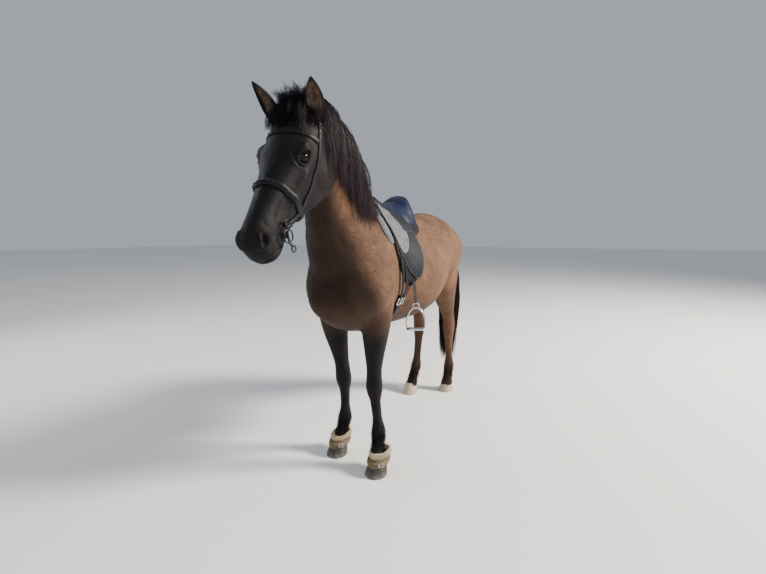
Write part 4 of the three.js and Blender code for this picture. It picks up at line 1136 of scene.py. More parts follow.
# Hooves: a sloping wall with growth rings, a rounded toe and a bulbed heel
def hoof_piece(name, leg):
    """The wall, drawn in under the sole and over the coronet, with how high each point is on it."""
    hx, hy = leg["hoof"]
    a = turns_of(84)
    rings, rise = [], []
    heights = [0.0, 0.0, 0.03, *np.linspace(0.06, 0.97, 34), 1.0, 1.0, 1.0]
    for k, t in enumerate(heights):
        size = (1 - (1 - HOOF["shrink"]) * t) * {0: 0.45, 1: 0.94}.get(k, 1)
        edge = {1: -12, 2: -2.5}.get(len(heights) - k, 0)
        ringed = 0.55 * np.sin(t * 44 + 0.6 * np.cos(a)) * smoothstep(t, 0.05, 0.2)
        x = np.cos(a) * (np.where(np.cos(a) > 0, HOOF["toe"], HOOF["heel"]) * size + edge + ringed - 0.6)
        y = np.sin(a) * (HOOF["half"] * size + edge + ringed - 0.6)
        notch = -7 * np.exp(-(((a - np.pi) / 0.22) ** 2)) * (1 - 0.4 * t)
        x = x - np.cos(a) * notch * (np.cos(a) < 0)
        z = t * (HOOF["coronet"] + HOOF["slope"] * x) + 0.3
        rings.append(np.stack([hx + x - HOOF["back"] * t, hy + y, z], axis=1))
        rise.append(np.full(84, t))
    top = np.array([hx - HOOF["back"], hy, HOOF["coronet"] + 1.0])
    verts, faces = loft(rings, np.array([hx, hy, 0.3]), top)
    obj = mesh_object(name + "_wall", placed(verts), faces)
    number(obj.data, "Rise", np.r_[np.concatenate(rise), 0, 1])
    return obj


def hoof_finish(name, low, high, band):
    """Horn with growth rings, fine upright streaks, dust at the ground and a soft band at the coronet."""
    f = Finish(name)
    rise = f.attribute("Rise")
    streak = f.noise(260.0, 3.0, 0.6, f.place((1, 1, 0.08)))
    ring = f.node("ShaderNodeTexWave", {"wave_type": "BANDS", "bands_direction": "Z"},
                  {"Vector": f.place(turn=(0, 0.39, 0)), "Scale": 34.0, "Distortion": 3.0, "Detail": 2.0}, "Fac")
    colour = f.blend(f.band(streak, 0.3, 0.7), low, high)
    colour = f.tinted(ring * 0.35, colour, (0.5, 0.46, 0.42))
    colour = f.blend(f.band(rise, 0.86, 0.97) * 0.7, colour, band)
    dust = (1 - f.band(rise, 0.0, 0.35)) * f.band(f.noise(60.0, 4.0), 0.35, 0.6) * 0.5
    colour = f.blend(dust, colour, rgb("9c948a"))
    height = streak * 0.4 + ring * 0.6
    return f.done(Base_Color=colour, Roughness=0.5 + dust * 0.3, Normal=f.bump(height, 0.0008, 0.6))


def hair_finish(name, root, middle, tip):
    """Long hair, darker at the root and bleached towards the tip, each clump and strand a little different."""
    f = Finish(name)
    along, strand, clump = f.attribute("Along"), f.attribute("Strand"), f.attribute("Clump")
    colour = f.blend(f.band(along, 0.0, 0.5), root, middle)
    bleach = f.band(along * 0.75 + clump * 0.3 + strand * 0.25, 0.55, 1.25)
    colour = f.blend(bleach, colour, tip)
    colour = f.tinted(strand * 0.45, colour, (0.35, 0.32, 0.3))
    return f.done(Base_Color=colour, Roughness=0.5 + strand * 0.16, Specular_IOR_Level=0.13)


# Tack: each piece is laid on the skin at its own height over it
BARREL_AXIS = 1040
BARREL_REACH = 250  # rough distance from the axis to the skin, for a line that misses it
OUTSIDE = 600  # further out than any of the body's sides
SPINE_HALF = 34  # nearer the middle than this, a place is found from above
FLAT_RADIUS = 230  # a turn round the barrel is this many mm a radian where it is laid flat
PADDING = 12.5
FLAP_TOP = 18.5
GIRTH_X = 306
GIRTH_HALF = 32
GIRTH_TOP = 905
GIRTH_THICK = 9.0
STRAP_HALF = 10
# Outlines in x and height, alike on both sides
PANEL_OUTLINE = [
    (258, 1440), (298, 1300), (338, 1190), (340, 1092), (308, 1012), (262, 956), (214, 944),
    (170, 990), (132, 1090), (90, 1185), (-10, 1218), (-70, 1258), (-78, 1440),
]
FLAP_OUTLINE = [
    (262, 1420), (306, 1300), (334, 1200), (330, 1128), (290, 1066), (236, 1012),
    (188, 974), (156, 990), (122, 1044), (98, 1110), (92, 1190), (66, 1290), (80, 1420),
]
PATCH_OUTLINE = [
    (254, 1352), (292, 1296), (320, 1220), (318, 1152), (286, 1114), (240, 1120),
    (196, 1168), (154, 1234), (132, 1290), (140, 1352),
]
FRONT_OUTLINE = [
    (264, 1356), (310, 1330), (358, 1284), (388, 1226), (384, 1180), (350, 1166), (336, 1212), (304, 1290),
]
SKIRT_OUTLINE = [(238, 1372), (240, 1296), (214, 1240), (160, 1206), (104, 1212), (72, 1262), (70, 1372)]


def barrel_place(skin, x, turn, side=1):
    """The skin at x where a line turned away from upright leaves the barrel, with its normal."""
    away = np.array([0, side * math.sin(turn), math.cos(turn)])
    middle = np.array([x, 0, BARREL_AXIS])
    return skin.hit(middle, away) or skin.nearest(middle + away * BARREL_REACH)


def turn_of(skin, x, z):
    """How far round the barrel from upright a place on the left at x and a height lies."""
    found = skin.hit([x, OUTSIDE, z], [0, -1, 0])
    if found is None or found[0][1] < SPINE_HALF:
        found = skin.hit([x, SPINE_HALF, 2000], [0, 0, -1])
    return math.atan2(found[0][1], found[0][2] - BARREL_AXIS)


def flat_outline(skin, points, count):
    """An outline in x and height as an even closed curve in x and the way round the barrel, in mm."""
    flat = [(x, FLAT_RADIUS * turn_of(skin, x, z), 0) for x, z in points]
    return closed_curve(flat, count)[:, :2]


def laid_slab(name, skin, points, side, low, high, rounded, crown=0.0, count=150, swell=None):
    """A layer with a rounded edge over one side of the barrel, and the rows of points of its top."""
    edge = flat_outline(skin, points, count)
    middle = edge.mean(0)
    spread = np.linalg.svd(edge - middle)[2][0]
    reach = np.abs((edge - middle) @ spread).max() * 0.5
    inner = nearest_on([middle - spread * reach, middle + spread * reach], edge)[0]
    shares = np.unique(np.r_[0, 0.012, 0.03, 0.06, (np.linspace(0, 1, 15)[2:]) ** 1.35])
    skin_at, normal_at, inset = [], [], []
    for share in shares:
        flat = edge * (1 - share) + inner * share
        where, normal = zip(*(barrel_place(skin, x, v / FLAT_RADIUS, side) for x, v in flat))
        skin_at.append(where)
        normal_at.append(normal)
        inset.append(np.linalg.norm(flat - edge, axis=1))
    skin_at, normal_at, inset = np.array(skin_at), np.array(normal_at), np.array(inset)
    round_part = np.sqrt(np.clip(1 - (1 - np.minimum(inset / rounded, 1)) ** 2, 0, 1))
    height = low + (high - low) * (0.3 + 0.7 * round_part) + crown * smoothstep(inset, 0, 55)
    if swell is not None:
        height = height + swell(skin_at) * smoothstep(inset, 0, 40)
    top = skin_at + normal_at * height[..., None]
    under = skin_at + normal_at * low
    below = inset.size
    faces = strips(len(shares), count)
    faces += [[a + below, d + below, c + below, b + below] for a, b, c, d in faces]
    j = np.arange(count)
    k = (j + 1) % count
    faces += np.stack([j, j + below, k + below, k], axis=1).tolist()
    obj = mesh_object(name, placed(np.vstack([top.reshape(-1, 3), under.reshape(-1, 3)])), faces)
    faced_out(obj.data, merge=True)
    return obj, top


def bar(line, radius, around=10, closed=False, way=None):
    """A round rod along a line, with closed ends or as a ring."""
    line = np.asarray(line, float)
    radius = np.broadcast_to(np.asarray(radius, float), len(line))
    flow = unit(np.roll(line, -1, 0) - np.roll(line, 1, 0)) if closed else unit(np.gradient(line, axis=0))
    if way is None:
        mean = unit(line.mean(0) - line[0] + [0.01, 0.02, 0.03])
        way = np.cross(mean, unit(line[-1] - line[len(line) // 2] + [0.03, 0.01, 0.02]))
        way = way if np.linalg.norm(way) > 0.05 else np.array([0.3, 0.9, 0.2])
    side = unit(np.cross(flow, np.broadcast_to(way, flow.shape)))
    up = np.cross(side, flow)
    a = turns_of(around)[None, :, None]
    rings = line[:, None] + (side[:, None] * np.cos(a) + up[:, None] * np.sin(a)) * radius[:, None, None]
    if closed:
        return rings.reshape(-1, 3), strips(len(rings), around, True)
    return loft(rings, line[0] - flow[0] * radius[0] * 0.6, line[-1] + flow[-1] * radius[-1] * 0.6)


# A band's section: places across it, how high each is from its underside to its top, and where it bulges
BAND_ACROSS = np.array([-1, -0.93, -0.55, 0, 0.55, 0.93, 1, 0.96, 0.5, 0, -0.5, -0.96])
BAND_UP = np.array([0.45, 0.9, 1, 1, 1, 0.9, 0.45, 0.05, 0, 0, 0, 0.05])
BAND_BULGE = np.array([0, 0.2, 0.9, 1, 0.9, 0.2, 0, 0, 0, 0, 0, 0])


def strap(skin, line, half, low, high, crown=0.25, count=None, tip=0.0):
    """A flat band with soft edges that follows the skin along a line, between two heights over it."""
    count = count or max(12, int(np.linalg.norm(np.diff(line, axis=0), axis=1).sum() / 7))
    line = resampled(line, count)
    low, high = (np.interp(np.linspace(0, 1, count), np.linspace(0, 1, np.size(v)), np.atleast_1d(v))
                 for v in (low, high))
    normal = np.array([skin.nearest(p)[1] for p in line])
    for _ in range(3):
        normal[1:-1] = unit(normal[:-2] + 2 * normal[1:-1] + normal[2:])
    side = unit(np.cross(unit(np.gradient(line, axis=0)), normal))
    ends = np.ones(count)
    if tip:
        left = np.linalg.norm(line - line[-1], axis=1)
        ends = np.sqrt(np.clip(1 - (1 - np.minimum(left / tip, 1)) ** 2, 0.04, 1))
    rings = []
    for i in range(count):
        ring = []
        places = line[i] + side[i] * (BAND_ACROSS * half * ends[i])[:, None]
        for point, up, lift in zip(places, BAND_UP, BAND_BULGE):
            where, turn = skin.nearest(point)
            ring.append(where + unit(turn + normal[i]) * (low[i] + (high[i] - low[i]) * up + lift * crown))
        rings.append(ring)
    return smoothed(rings, 2)


def strap_piece(name, bands):
    """One object from several bands, with how near its edge each point is."""
    obj = joined_mesh(name, map(loft, bands))
    edge = [np.r_[np.tile(np.abs(BAND_ACROSS), len(rings)), 0.6, 0.6] for rings in bands]
    number(obj.data, "Edge", np.concatenate(edge))
    return obj


def band_line(rings, across):
    """A line on the top of a band, from -1 at one edge to 1 at the other."""
    return np.array([[np.interp(across, BAND_ACROSS[:7], ring[:7, k]) for k in range(3)] for ring in rings])


# Repeats: stitches and studs that Geometry Nodes set along lines
def repeat_tree(name, finish, spacing, length, thick):
    """A tree that sets one small rounded body after another along every line of a mesh."""
    tree = bpy.data.node_groups.new(name, "GeometryNodeTree")
    face = tree.interface
    face.new_socket("Geometry", in_out="INPUT", socket_type="NodeSocketGeometry")
    for label, value in (("Spacing", spacing), ("Length", length), ("Thickness", thick)):
        face.new_socket(label, in_out="INPUT", socket_type="NodeSocketFloat").default_value = value
    face.new_socket("Geometry", in_out="OUTPUT", socket_type="NodeSocketGeometry")
    start, end, curve, spaced, ball, size, shaped, tangent, turn, put, plain, smooth, painted = (
        tree.nodes.new(kind) for kind in (
            "NodeGroupInput", "NodeGroupOutput", "GeometryNodeMeshToCurve", "GeometryNodeResampleCurve",
            "GeometryNodeMeshUVSphere", "ShaderNodeCombineXYZ", "GeometryNodeTransform",
            "GeometryNodeInputTangent", "FunctionNodeAlignRotationToVector", "GeometryNodeInstanceOnPoints",
            "GeometryNodeRealizeInstances", "GeometryNodeSetShadeSmooth", "GeometryNodeSetMaterial",
        ))
    spaced.mode = "LENGTH"
    turn.axis = "X"
    for label, value in (("Segments", 7), ("Rings", 4), ("Radius", 0.5)):
        ball.inputs[label].default_value = value
    painted.inputs["Material"].default_value = finish
    for a, out, b, into in (
        (start, "Geometry", curve, "Mesh"), (curve, 0, spaced, "Curve"), (start, "Spacing", spaced, "Length"),
        (start, "Length", size, 0), (start, "Thickness", size, 1), (start, "Thickness", size, 2),
        (ball, "Mesh", shaped, "Geometry"), (size, 0, shaped, "Scale"), (spaced, 0, put, "Points"),
        (shaped, 0, put, "Instance"), (tangent, 0, turn, "Vector"), (turn, 0, put, "Rotation"),
        (put, 0, plain, 0), (plain, 0, smooth, 0), (smooth, 0, painted, 0), (painted, 0, end, 0),
    ):
        tree.links.new(a.outputs[out], b.inputs[into])
    return tree


def repeated(name, lines, tree, **sizes):
    """The bodies of a tree along lines in the horse's millimetres, as one plain mesh."""
    edges, count = [], 0
    for line in lines:
        edges += [(count + i, count + i + 1) for i in range(len(line) - 1)]
        count += len(line)
    mesh = bpy.data.meshes.new(name)
    mesh.from_pydata(placed(np.vstack(lines)).tolist(), edges, [])
    obj = linked(name, mesh)
    made = obj.modifiers.new("repeats", "NODES")
    made.node_group = tree
    for item in tree.interface.items_tree:
        if item.item_type == "SOCKET" and item.in_out == "INPUT" and item.name in sizes:
            made[item.identifier] = sizes[item.name]
    return evaluated(obj)


# Saddle seat. Rows: x, top, bottom, half widths at shares of the way down
SEAT_SHARES = [0.06, 0.25, 0.5, 0.75, 0.95]
SEAT = [
    [-92, 1412, 1260, 40, 58, 66, 64, 40], [-76, 1434, 1230, 56, 86, 104, 112, 90],
    [-40, 1424, 1200, 58, 98, 126, 142, 120], [15, 1394, 1190, 54, 96, 128, 146, 130],
    [80, 1378, 1190, 46, 86, 116, 134, 120], [145, 1382, 1195, 38, 72, 98, 118, 110],
    [205, 1398, 1210, 32, 58, 84, 104, 96], [245, 1412, 1240, 26, 46, 66, 84, 76],
    [268, 1406, 1300, 16, 30, 42, 48, 40],
]
SEAT_AROUND = 96


def seat_rings(skin):
    """The seat's sections, dished along the middle, rolled at the cantle and resting on the panels."""
    sizes = sizes_along(SEAT)
    rings = []
    for x in np.r_[-94, -93, np.linspace(-91, 267, 88), 269]:
        top, bottom, *widths = sizes(np.clip(x, -92, 268))[0]
        end = 1 - 0.5 * smoothstep(abs(x - 88), 177, 183)
        middle = (top + bottom) / 2
        top, bottom = middle + (top - middle) * end, middle + (bottom - middle) * end
        ring = outline([x, 0, top], [x, 0, bottom], [0, 1, 0], SEAT_SHARES, np.array(widths) * end, SEAT_AROUND)
        side = np.abs(ring[:, 1])
        high = smoothstep(ring[:, 2], top - 60, top)
        dish = -5 * np.exp(-((side / 16) ** 2)) * smoothstep(x, -60, 0) * (1 - smoothstep(x, 190, 240)) * high
        seam = -2.2 * np.exp(-(((side - 44 + 0.05 * (x + 90)) / 3) ** 2)) * high
        roll = 5 * np.exp(-(((x + 80) / 12) ** 2)) * high
        ring[:, 2] += dish + seam + roll
        rings.append([skin.lifted(p, PADDING + 0.6) for p in ring])
    return np.array(rings)


def seat_line(rings, share_out):
    """A line along the seat's left or right side where it is a set distance from the middle."""
    line = []
    for ring in rings:
        side = ring[:, 1] * np.sign(share_out)
        upper = ring[:, 2] > ring[:, 2].mean()
        line.append(ring[np.argmin(np.where(upper & (side > 0), np.abs(side - abs(share_out)), 1e9))])
    return smoothed(line, 4)


# Girth and its straps
GIRTH_ACROSS = np.array([-1, -0.95, -0.6, 0, 0.6, 0.95, 1, 0.95, 0.5, 0, -0.5, -0.95])
GIRTH_UP = np.array([0.4, 0.88, 1, 1, 1, 0.88, 0.4, 0.05, 0, 0, 0, 0.05])
GIRTH_BULGE = np.array([0, 0, 1, 1.6, 1, 0, 0, 0, 0, 0, 0, 0])


def girth_rings(skin):
    """The girth's sections round the barrel, from one end under the left billets to the other."""
    start = turn_of(skin, GIRTH_X, GIRTH_TOP)
    turns = np.linspace(start, 2 * np.pi - start, 150)
    way = np.stack([0 * turns, np.sin(turns), np.cos(turns)], axis=1)
    axis = np.array([0, 0, BARREL_AXIS])
    reach = lambda x: np.array([np.linalg.norm(barrel_place(skin, x, t)[0] - axis - [x, 0, 0]) for t in turns])
    middle = reach(GIRTH_X - 12)
    order = np.arange(len(turns))
    ends = smoothstep(np.minimum(order, order[::-1]), -0.5, 2)
    rings = np.zeros((len(turns), 12, 3))
    for k, (across, up, bulge) in enumerate(zip(GIRTH_ACROSS, GIRTH_UP, GIRTH_BULGE)):
        x = GIRTH_X + GIRTH_HALF * across
        far = smoothed(np.clip(reach(x), middle - 5, middle + 5), 6)
        height = 0.8 + (GIRTH_THICK - 0.8) * up * (0.4 + 0.6 * ends) + bulge * ends
        rings[:, k] = axis + way * (far + height)[:, None] + [x, 0, 0]
    return rings


def side_line(skin, x, heights, side):
    """A line down one side of the barrel at x, through the given heights."""
    return np.array([skin.hit([x, OUTSIDE * side, z], [0, -side, 0])[0] for z in heights])


def buckle_parts(middle, across, along, half_wide, half_high, wire):
    """A buckle's frame, its roller and its tongue, about a point on a strap."""
    out = np.cross(across, along)
    corner = np.array([(1, -1), (1, 1), (-1, 1), (-1, -1)])
    line = [(1 - t) * a + t * b for a, b in zip(corner, np.roll(corner, -1, 0)) for t in (0.12, 0.5, 0.88)]
    line = [middle + u * across * half_wide + v * along * half_high + out * wire for u, v in line]
    low = middle - along * half_high + out * wire
    roller = [low + across * half_wide * share for share in (-0.8, -0.3, 0.3, 0.8)]
    tongue = [middle + along * half_high * 0.95 + out * wire, middle + out * wire * 2.3,
              low - along * 2.2 + out * wire * 1.6]
    return [
        bar(closed_curve(line, 48), wire, 10, True, way=out),
        bar(resampled(roller, 8), wire * 1.45, 12, way=out),
        bar(open_curve(tongue, 14), wire * 0.75, 8, way=across),
    ]


# Stirrups: the iron's arch and eye, its tread as half widths along it, and a section of the leather
STIRRUP = dict(x=214, top=956, eye=850, tread=710, turn=math.radians(20))
IRON = [(-46, 6), (-50, 34), (-44, 72), (-24, 106), (0, 116), (24, 106), (44, 72), (50, 34), (46, 6)]
IRON_EYE = [(-15, 828), (-15.5, 838), (-12, 848), (0, 849.5), (12, 848), (15.5, 838), (15, 828), (0, 826)]
TREAD = [(-49, 8), (-47, 15), (-30, 17.5), (0, 18), (30, 17.5), (47, 15), (49, 8)]
LEATHER = np.array([
    (-15, 0), (-14, 1.1), (-8, 1.45), (0, 1.5), (8, 1.45), (14, 1.1),
    (15, 0), (14, -1.1), (8, -1.45), (0, -1.5), (-8, -1.45), (-14, -1.1),
])


def stirrup_pieces(word, side):
    """An iron with its tread and eye, and the two layers of the leather that it hangs on."""
    low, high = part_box(f"stirrup_iron_{word}")
    middle = ((np.array(low) + np.array(high)) / 2 - SHIFT) / MM
    x, y = STIRRUP["x"], middle[1]
    turn = side * STIRRUP["turn"]
    across = np.array([-math.sin(turn), math.cos(turn), 0])
    ahead = np.array([math.cos(turn), math.sin(turn), 0])
    at = lambda u, a, z: across * u + ahead * a + [x, y, z]
    tread = []
    for u, half in TREAD:
        section = [(half, -3), (half + 1, 2), (half - 1.5, 6), (half * 0.4, 6.5)]
        section += [(-a, b) for a, b in section[::-1]]
        tread.append([at(u, a, STIRRUP["tread"] + b) for a, b in section])
    arch = open_curve([at(u, 0, STIRRUP["tread"] + h) for u, h in IRON], 60)
    parts = [bar(arch, 4.6, 14, way=ahead), loft(tread)]
    for a in range(-12, 13, 4):
        ridge = [at(u, a, STIRRUP["tread"] + 6.4) for u in np.linspace(-38, 38, 12)]
        parts.append(bar(ridge, 1.25, 6, way=[0, 0, 1]))
    parts.append(bar(closed_curve([at(u, 0, z) for u, z in IRON_EYE], 50), 3.1, 10, True, way=ahead))
    low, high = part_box(f"stirrup_leather_{word}")
    inner = ((low.y if side > 0 else high.y) - SHIFT[1]) / MM + 3 * side
    layers = []
    for shift in (-1.75, 1.75):
        line = open_curve([
            (x + 6, inner + side * shift, STIRRUP["top"] + 8),
            (x + 4, (inner + y) / 2 + side * (shift + 2), 905),
            (x, y + side * shift, STIRRUP["eye"] + 2),
        ], 30)
        layers.append(line[:, None] + np.c_[LEATHER * [1, side], np.zeros(12)])
    return joined_mesh(f"iron_{word}", parts), layers


# Bridle. Each band goes round the head in a plane, or down its side
def head_band(skin, centre, way, first, last, count=70, widest=190):
    """Places on the head round a centre, from one angle to another; 90 degrees is along the way."""
    start = head_points([[centre[0], 0, centre[1]]])[0]
    d = unit(np.array([way[0], 0.0, way[1]]))
    line = []
    for turn in np.radians(np.linspace(first, last, count)):
        found = skin.hit(start, HEAD_TURN.T @ (np.array([0, 1.0, 0]) * math.cos(turn) + d * math.sin(turn)))
        if found and np.linalg.norm(found[0] - start) < widest:
            line.append(found[0])
    return smoothed(line)


def head_side(skin, points, side, count=24):
    """Places down one side of the head below a line in the head's x and z."""
    line = []
    for x, _, z in open_curve([(x, 0, z) for x, z in points], count):
        start, end = head_points([[x, side * 200, z], [x, 0, z]])
        line.append(skin.hit(start, end - start)[0])
    return smoothed(line)


BIT_CHEEK = [(433, -97), (448, -105), (462, -116), (472, -130), (477, -146)]
BIT_RINGS = [(424, -92, 63, 11), (478, -154, 66, 10), (459, -112, 67, 21)]


def bit_parts():
    """The bit: a bar through the mouth, and at each side a curved cheek between two rings."""
    ends = [head_points([[458, y, -116]])[0] for y in np.linspace(-61, 61, 14)]
    parts = [bar(np.array(ends), 5.6 + 1.2 * np.cos(np.linspace(-1, 1, 14) * np.pi), 12, way=FACE_OUT)]
    for side in (1, -1):
        cheek = [head_points([[x, side * (63 + 0.9 * i), z]])[0] for i, (x, z) in enumerate(BIT_CHEEK)]
        parts.append(bar(open_curve(cheek, 30), 3.7, 12, way=FACE_LEFT))
        for x, z, y, radius in BIT_RINGS:
            a = turns_of(28)
            flat = np.c_[x + np.cos(a) * radius, np.full(28, side * y), z + np.sin(a) * radius]
            parts.append(bar(head_points(flat), 2.5, 10, True, way=FACE_LEFT))
    return parts


# Front boots. Rows: height over the coronet, reach to the front, reach to the back, half width
BOOT_DIP = 0.09
BOOT = [[-8, 68, 56, 54], [12, 68, 53, 51], [32, 67, 50, 46]]
BOOT_STRAP = [[0, 72, 60, 58], [18, 72, 57, 55]]
FLEECE_ROLL = [[31, 69, 54, 49], [39, 73, 59, 54], [48, 65, 53, 47]]


def boot_rings(leg, rows, steps, lift):
    """Rings round a pastern, raised by a lift that reads the height and the angle."""
    hx, hy = leg["hoof"]
    sizes = sizes_along(rows)
    rings = []
    a = turns_of(84)
    for up in np.linspace(rows[0][0], rows[-1][0], steps):
        front, back, half = sizes(up)[0]
        more = lift(up, a)
        x = np.cos(a) * (np.where(np.cos(a) > 0, front, back) + more)
        z = HOOF["coronet"] + up - BOOT_DIP * x
        rings.append(np.c_[hx - HOOF["back"] - 0.62 * up + x, hy + np.sin(a) * (half + more), z])
    return np.array(rings)


def shell_piece(name, outer, thick):
    """A wall from outer rings and the same rings drawn in by a thickness, closed at both edges."""
    inner = outer - unit(outer - outer.mean(axis=1, keepdims=True)) * thick
    rings = np.concatenate([outer, inner[::-1]])
    return mesh_object(name, placed(rings.reshape(-1, 3)), strips(*rings.shape[:2], True))


# Finishes of the tack
def leather_finish(name, base, worn, grain, shine, rubbed=None):
    """Smooth hide with a fine pebbled grain, creases and scuffs, and on bands a rubbed edge."""
    f = Finish(name)
    cells = f.node("ShaderNodeTexVoronoi", {"feature": "F1"}, {"Vector": f.place(), "Scale": 520.0 * grain})
    crease = f.noise(46.0, 5.0, 0.62)
    scuff = f.band(f.noise(19.0, 6.0, 0.7), 0.5, 0.72)
    colour = f.blend(scuff * 0.4, base, worn)
    if rubbed:
        rub = f.band(f.attribute("Edge") + f.noise(90.0, 3.0) * 0.35, 1.02, 1.25)
        colour = f.blend(rub * 0.75, colour, rubbed)
    dust = f.band(f.noise(7.0, 4.0, 0.6), 0.55, 0.75) * 0.08
    colour = f.blend(dust, colour, rgb("5c564f"))
    height = cells * 0.5 + crease * 0.9
    rough = shine + scuff * 0.14 + crease * 0.12 + dust * 0.3
    return f.done(Base_Color=colour, Roughness=rough, Normal=f.bump(height, 0.0009, 0.4),
                  Sheen_Weight=0.02, Sheen_Roughness=0.35, Specular_IOR_Level=0.18)


def suede_finish():
    """Grey suede with a napped surface, darker where it is pressed and rubbed."""
    f = Finish("grey_suede")
    nap = f.noise(620.0, 4.0, 0.7)
    patch = f.band(f.noise(24.0, 5.0, 0.65), 0.35, 0.68)
    colour = f.blend(patch, rgb("414347"), rgb("66676b"))
    colour = f.blend(f.band(nap, 0.4, 0.7) * 0.35, colour, rgb("8a8987"))
    height = nap * 0.7 + f.noise(120.0, 3.0) * 0.5
    return f.done(Base_Color=colour, Roughness=0.86 - patch * 0.08, Normal=f.bump(height, 0.0011, 0.5),
                  Sheen_Weight=0.15, Sheen_Roughness=0.5, Specular_IOR_Level=0.2)


def steel_finish(name, bright, tarnish):
    """Steel with fine rubbing marks and a little dulling."""
    f = Finish(name)
    marks = f.noise(420.0, 3.0, 0.6, f.place((1, 1, 6)))
    dull = f.band(f.noise(38.0, 4.0, 0.6), 0.45, 0.75)
    colour = f.blend(dull * 0.55, bright, tarnish)
    return f.done(Base_Color=colour, Metallic=1.0, Roughness=0.2 + marks * 0.14 + dull * 0.2,
                  Normal=f.bump(marks, 0.0003, 0.25))


def fleece_finish():
    """Curly sheepskin, cream on the curls and darker and browner between them."""
    f = Finish("fleece")
    curl = f.node("ShaderNodeTexVoronoi", {"feature": "SMOOTH_F1"}, {"Vector": f.place(), "Scale": 190.0})
    fine = f.noise(700.0, 4.0, 0.7)
    colour = f.blend(f.band(curl + (fine - 0.5) * 0.3, 0.15, 0.75), rgb("d6c6a2"), rgb("8c7450"))
    colour = f.blend(f.band(f.noise(40.0, 4.0), 0.5, 0.75) * 0.4, colour, rgb("6d5a40"))
    height = fine * 0.5 - curl * 1.2
    return f.done(Base_Color=colour, Roughness=0.9, Normal=f.bump(height, 0.003, 0.8),
                  Sheen_Weight=0.5, Sheen_Roughness=0.5, Specular_IOR_Level=0.2)


def wool_finish():
    """Tufts of fleece, darker and browner at their roots and cream at their tips."""
    f = Finish("wool")
    along, strand = f.attribute("Along"), f.attribute("Strand")
    colour = f.blend(f.band(along + strand * 0.3, 0.1, 0.9), rgb("92794f"), rgb("dccdaa"))
    return f.done(Base_Color=colour, Roughness=0.85 - strand * 0.1, Sheen_Weight=0.3, Specular_IOR_Level=0.2)


def thread_finish(name, colour, dull):
    """Waxed thread with a twist in its shade."""
    f = Finish(name)
    twist = f.noise(900.0, 2.0, 0.5)
    return f.done(Base_Color=f.blend(twist, colour, dull), Roughness=0.6 + twist * 0.1)


def make_saddle(skin):
    """Panels, flaps, knee patches, front pads and skirts on each side, and the seat over them."""
    # The blue in the black leather and the seat leather below is a painted reflection of the sky on black hide.
    black = leather_finish("black_leather", rgb("080d18"), rgb("141b28"), 1.0, 0.48)
    padded = leather_finish("panel_leather", rgb("0b0c0e"), rgb("1a1a1c"), 0.8, 0.5)
    seat_hide_sky_reflection = leather_finish("seat_leather_sky_reflection", rgb("0a1430"), rgb("182547"), 1.0, 0.3)
    suede = suede_finish()
    thread = thread_finish("pale_thread", rgb("b9b4a8"), rgb("8d887c"))
    piping = leather_finish("pale_piping", rgb("8f9194"), rgb("6d6e70"), 1.4, 0.5)
    stitch = repeat_tree("stitches", thread, 0.0062, 0.0044, 0.0009)
    for word, side in SIDES:
        knee = (250, 220 * side, 1120)
        swell = lambda p: 5.0 * smoothstep(60 - p[..., 0], 0, 90) + 3.5 * near(
            p.reshape(-1, 3), knee, (90, 120, 110)).reshape(p.shape[:-1])
        layer = lambda name, *sizes, **more: laid_slab(f"{name}_{word}", skin, sizes[0], side, *sizes[1:], **more)
        panel, _ = layer("panel", PANEL_OUTLINE, 0.8, PADDING, 9, swell=swell)
        flap, flap_top = layer("flap", FLAP_OUTLINE, PADDING + 0.4, FLAP_TOP, 3.2, 1.2)
        patch, patch_top = layer("patch", PATCH_OUTLINE, FLAP_TOP - 0.6, FLAP_TOP + 3.2, 4.5, 3.4)
        pad, pad_top = layer("pad", FRONT_OUTLINE, 0.8, 10.5, 8, 5.5)
        skirt, skirt_top = layer("skirt", SKIRT_OUTLINE, FLAP_TOP + 0.5, FLAP_TOP + 4.5, 3, 3, 110)
        kept(panel, padded, "black_leather", f"saddle_panel_{word}")
        kept(flap, black, "black_leather", f"saddle_flap_{word}")
        kept(patch, suede, "grey_suede", f"knee_patch_{word}")
        kept(pad, suede, "grey_suede", f"front_pad_{word}")
        kept(skirt, black, "black_leather")
        seams = ((flap_top, 6.5), (skirt_top, 6), (patch_top, 5))
        seams = [looped(inset_ring(top, inset)) for top, inset in seams]
        kept(repeated(f"flap_stitches_{word}", seams, stitch), thread, "grey_suede")
        cords = [bar(inset_ring(top, 1.2), 1.9, 8, True) for top in (pad_top, patch_top)]
        kept(joined_mesh(f"piping_{word}", cords), piping, "grey_suede")
    rings = seat_rings(skin)
    verts, faces = loft(rings)
    seat = mesh_object("seat", placed(verts), faces)
    faced_out(seat.data, merge=True)
    kept(seat, seat_hide_sky_reflection, "black_leather", "saddle_seat")
    welts = [bar(seat_line(rings[5:-6], out), 2.1, 8) for out in (41, -41)]
    for ring in (rings[4], rings[-6]):
        over = ring[ring[:, 2] > ring[:, 2].max() - 78]
        welts.append(bar(smoothed(over[np.argsort(over[:, 1])]), 2.6, 8))
    kept(joined_mesh("seat_piping", welts), padded, "black_leather")


def inset_ring(top, inset):
    """The ring at a distance in from the edge of a laid piece, from its rows of points."""
    far = np.linalg.norm(top - top[0], axis=2)
    return np.array([[np.interp(inset, far[:, j], top[:, j, k]) for k in range(3)] for j in range(top.shape[1])])


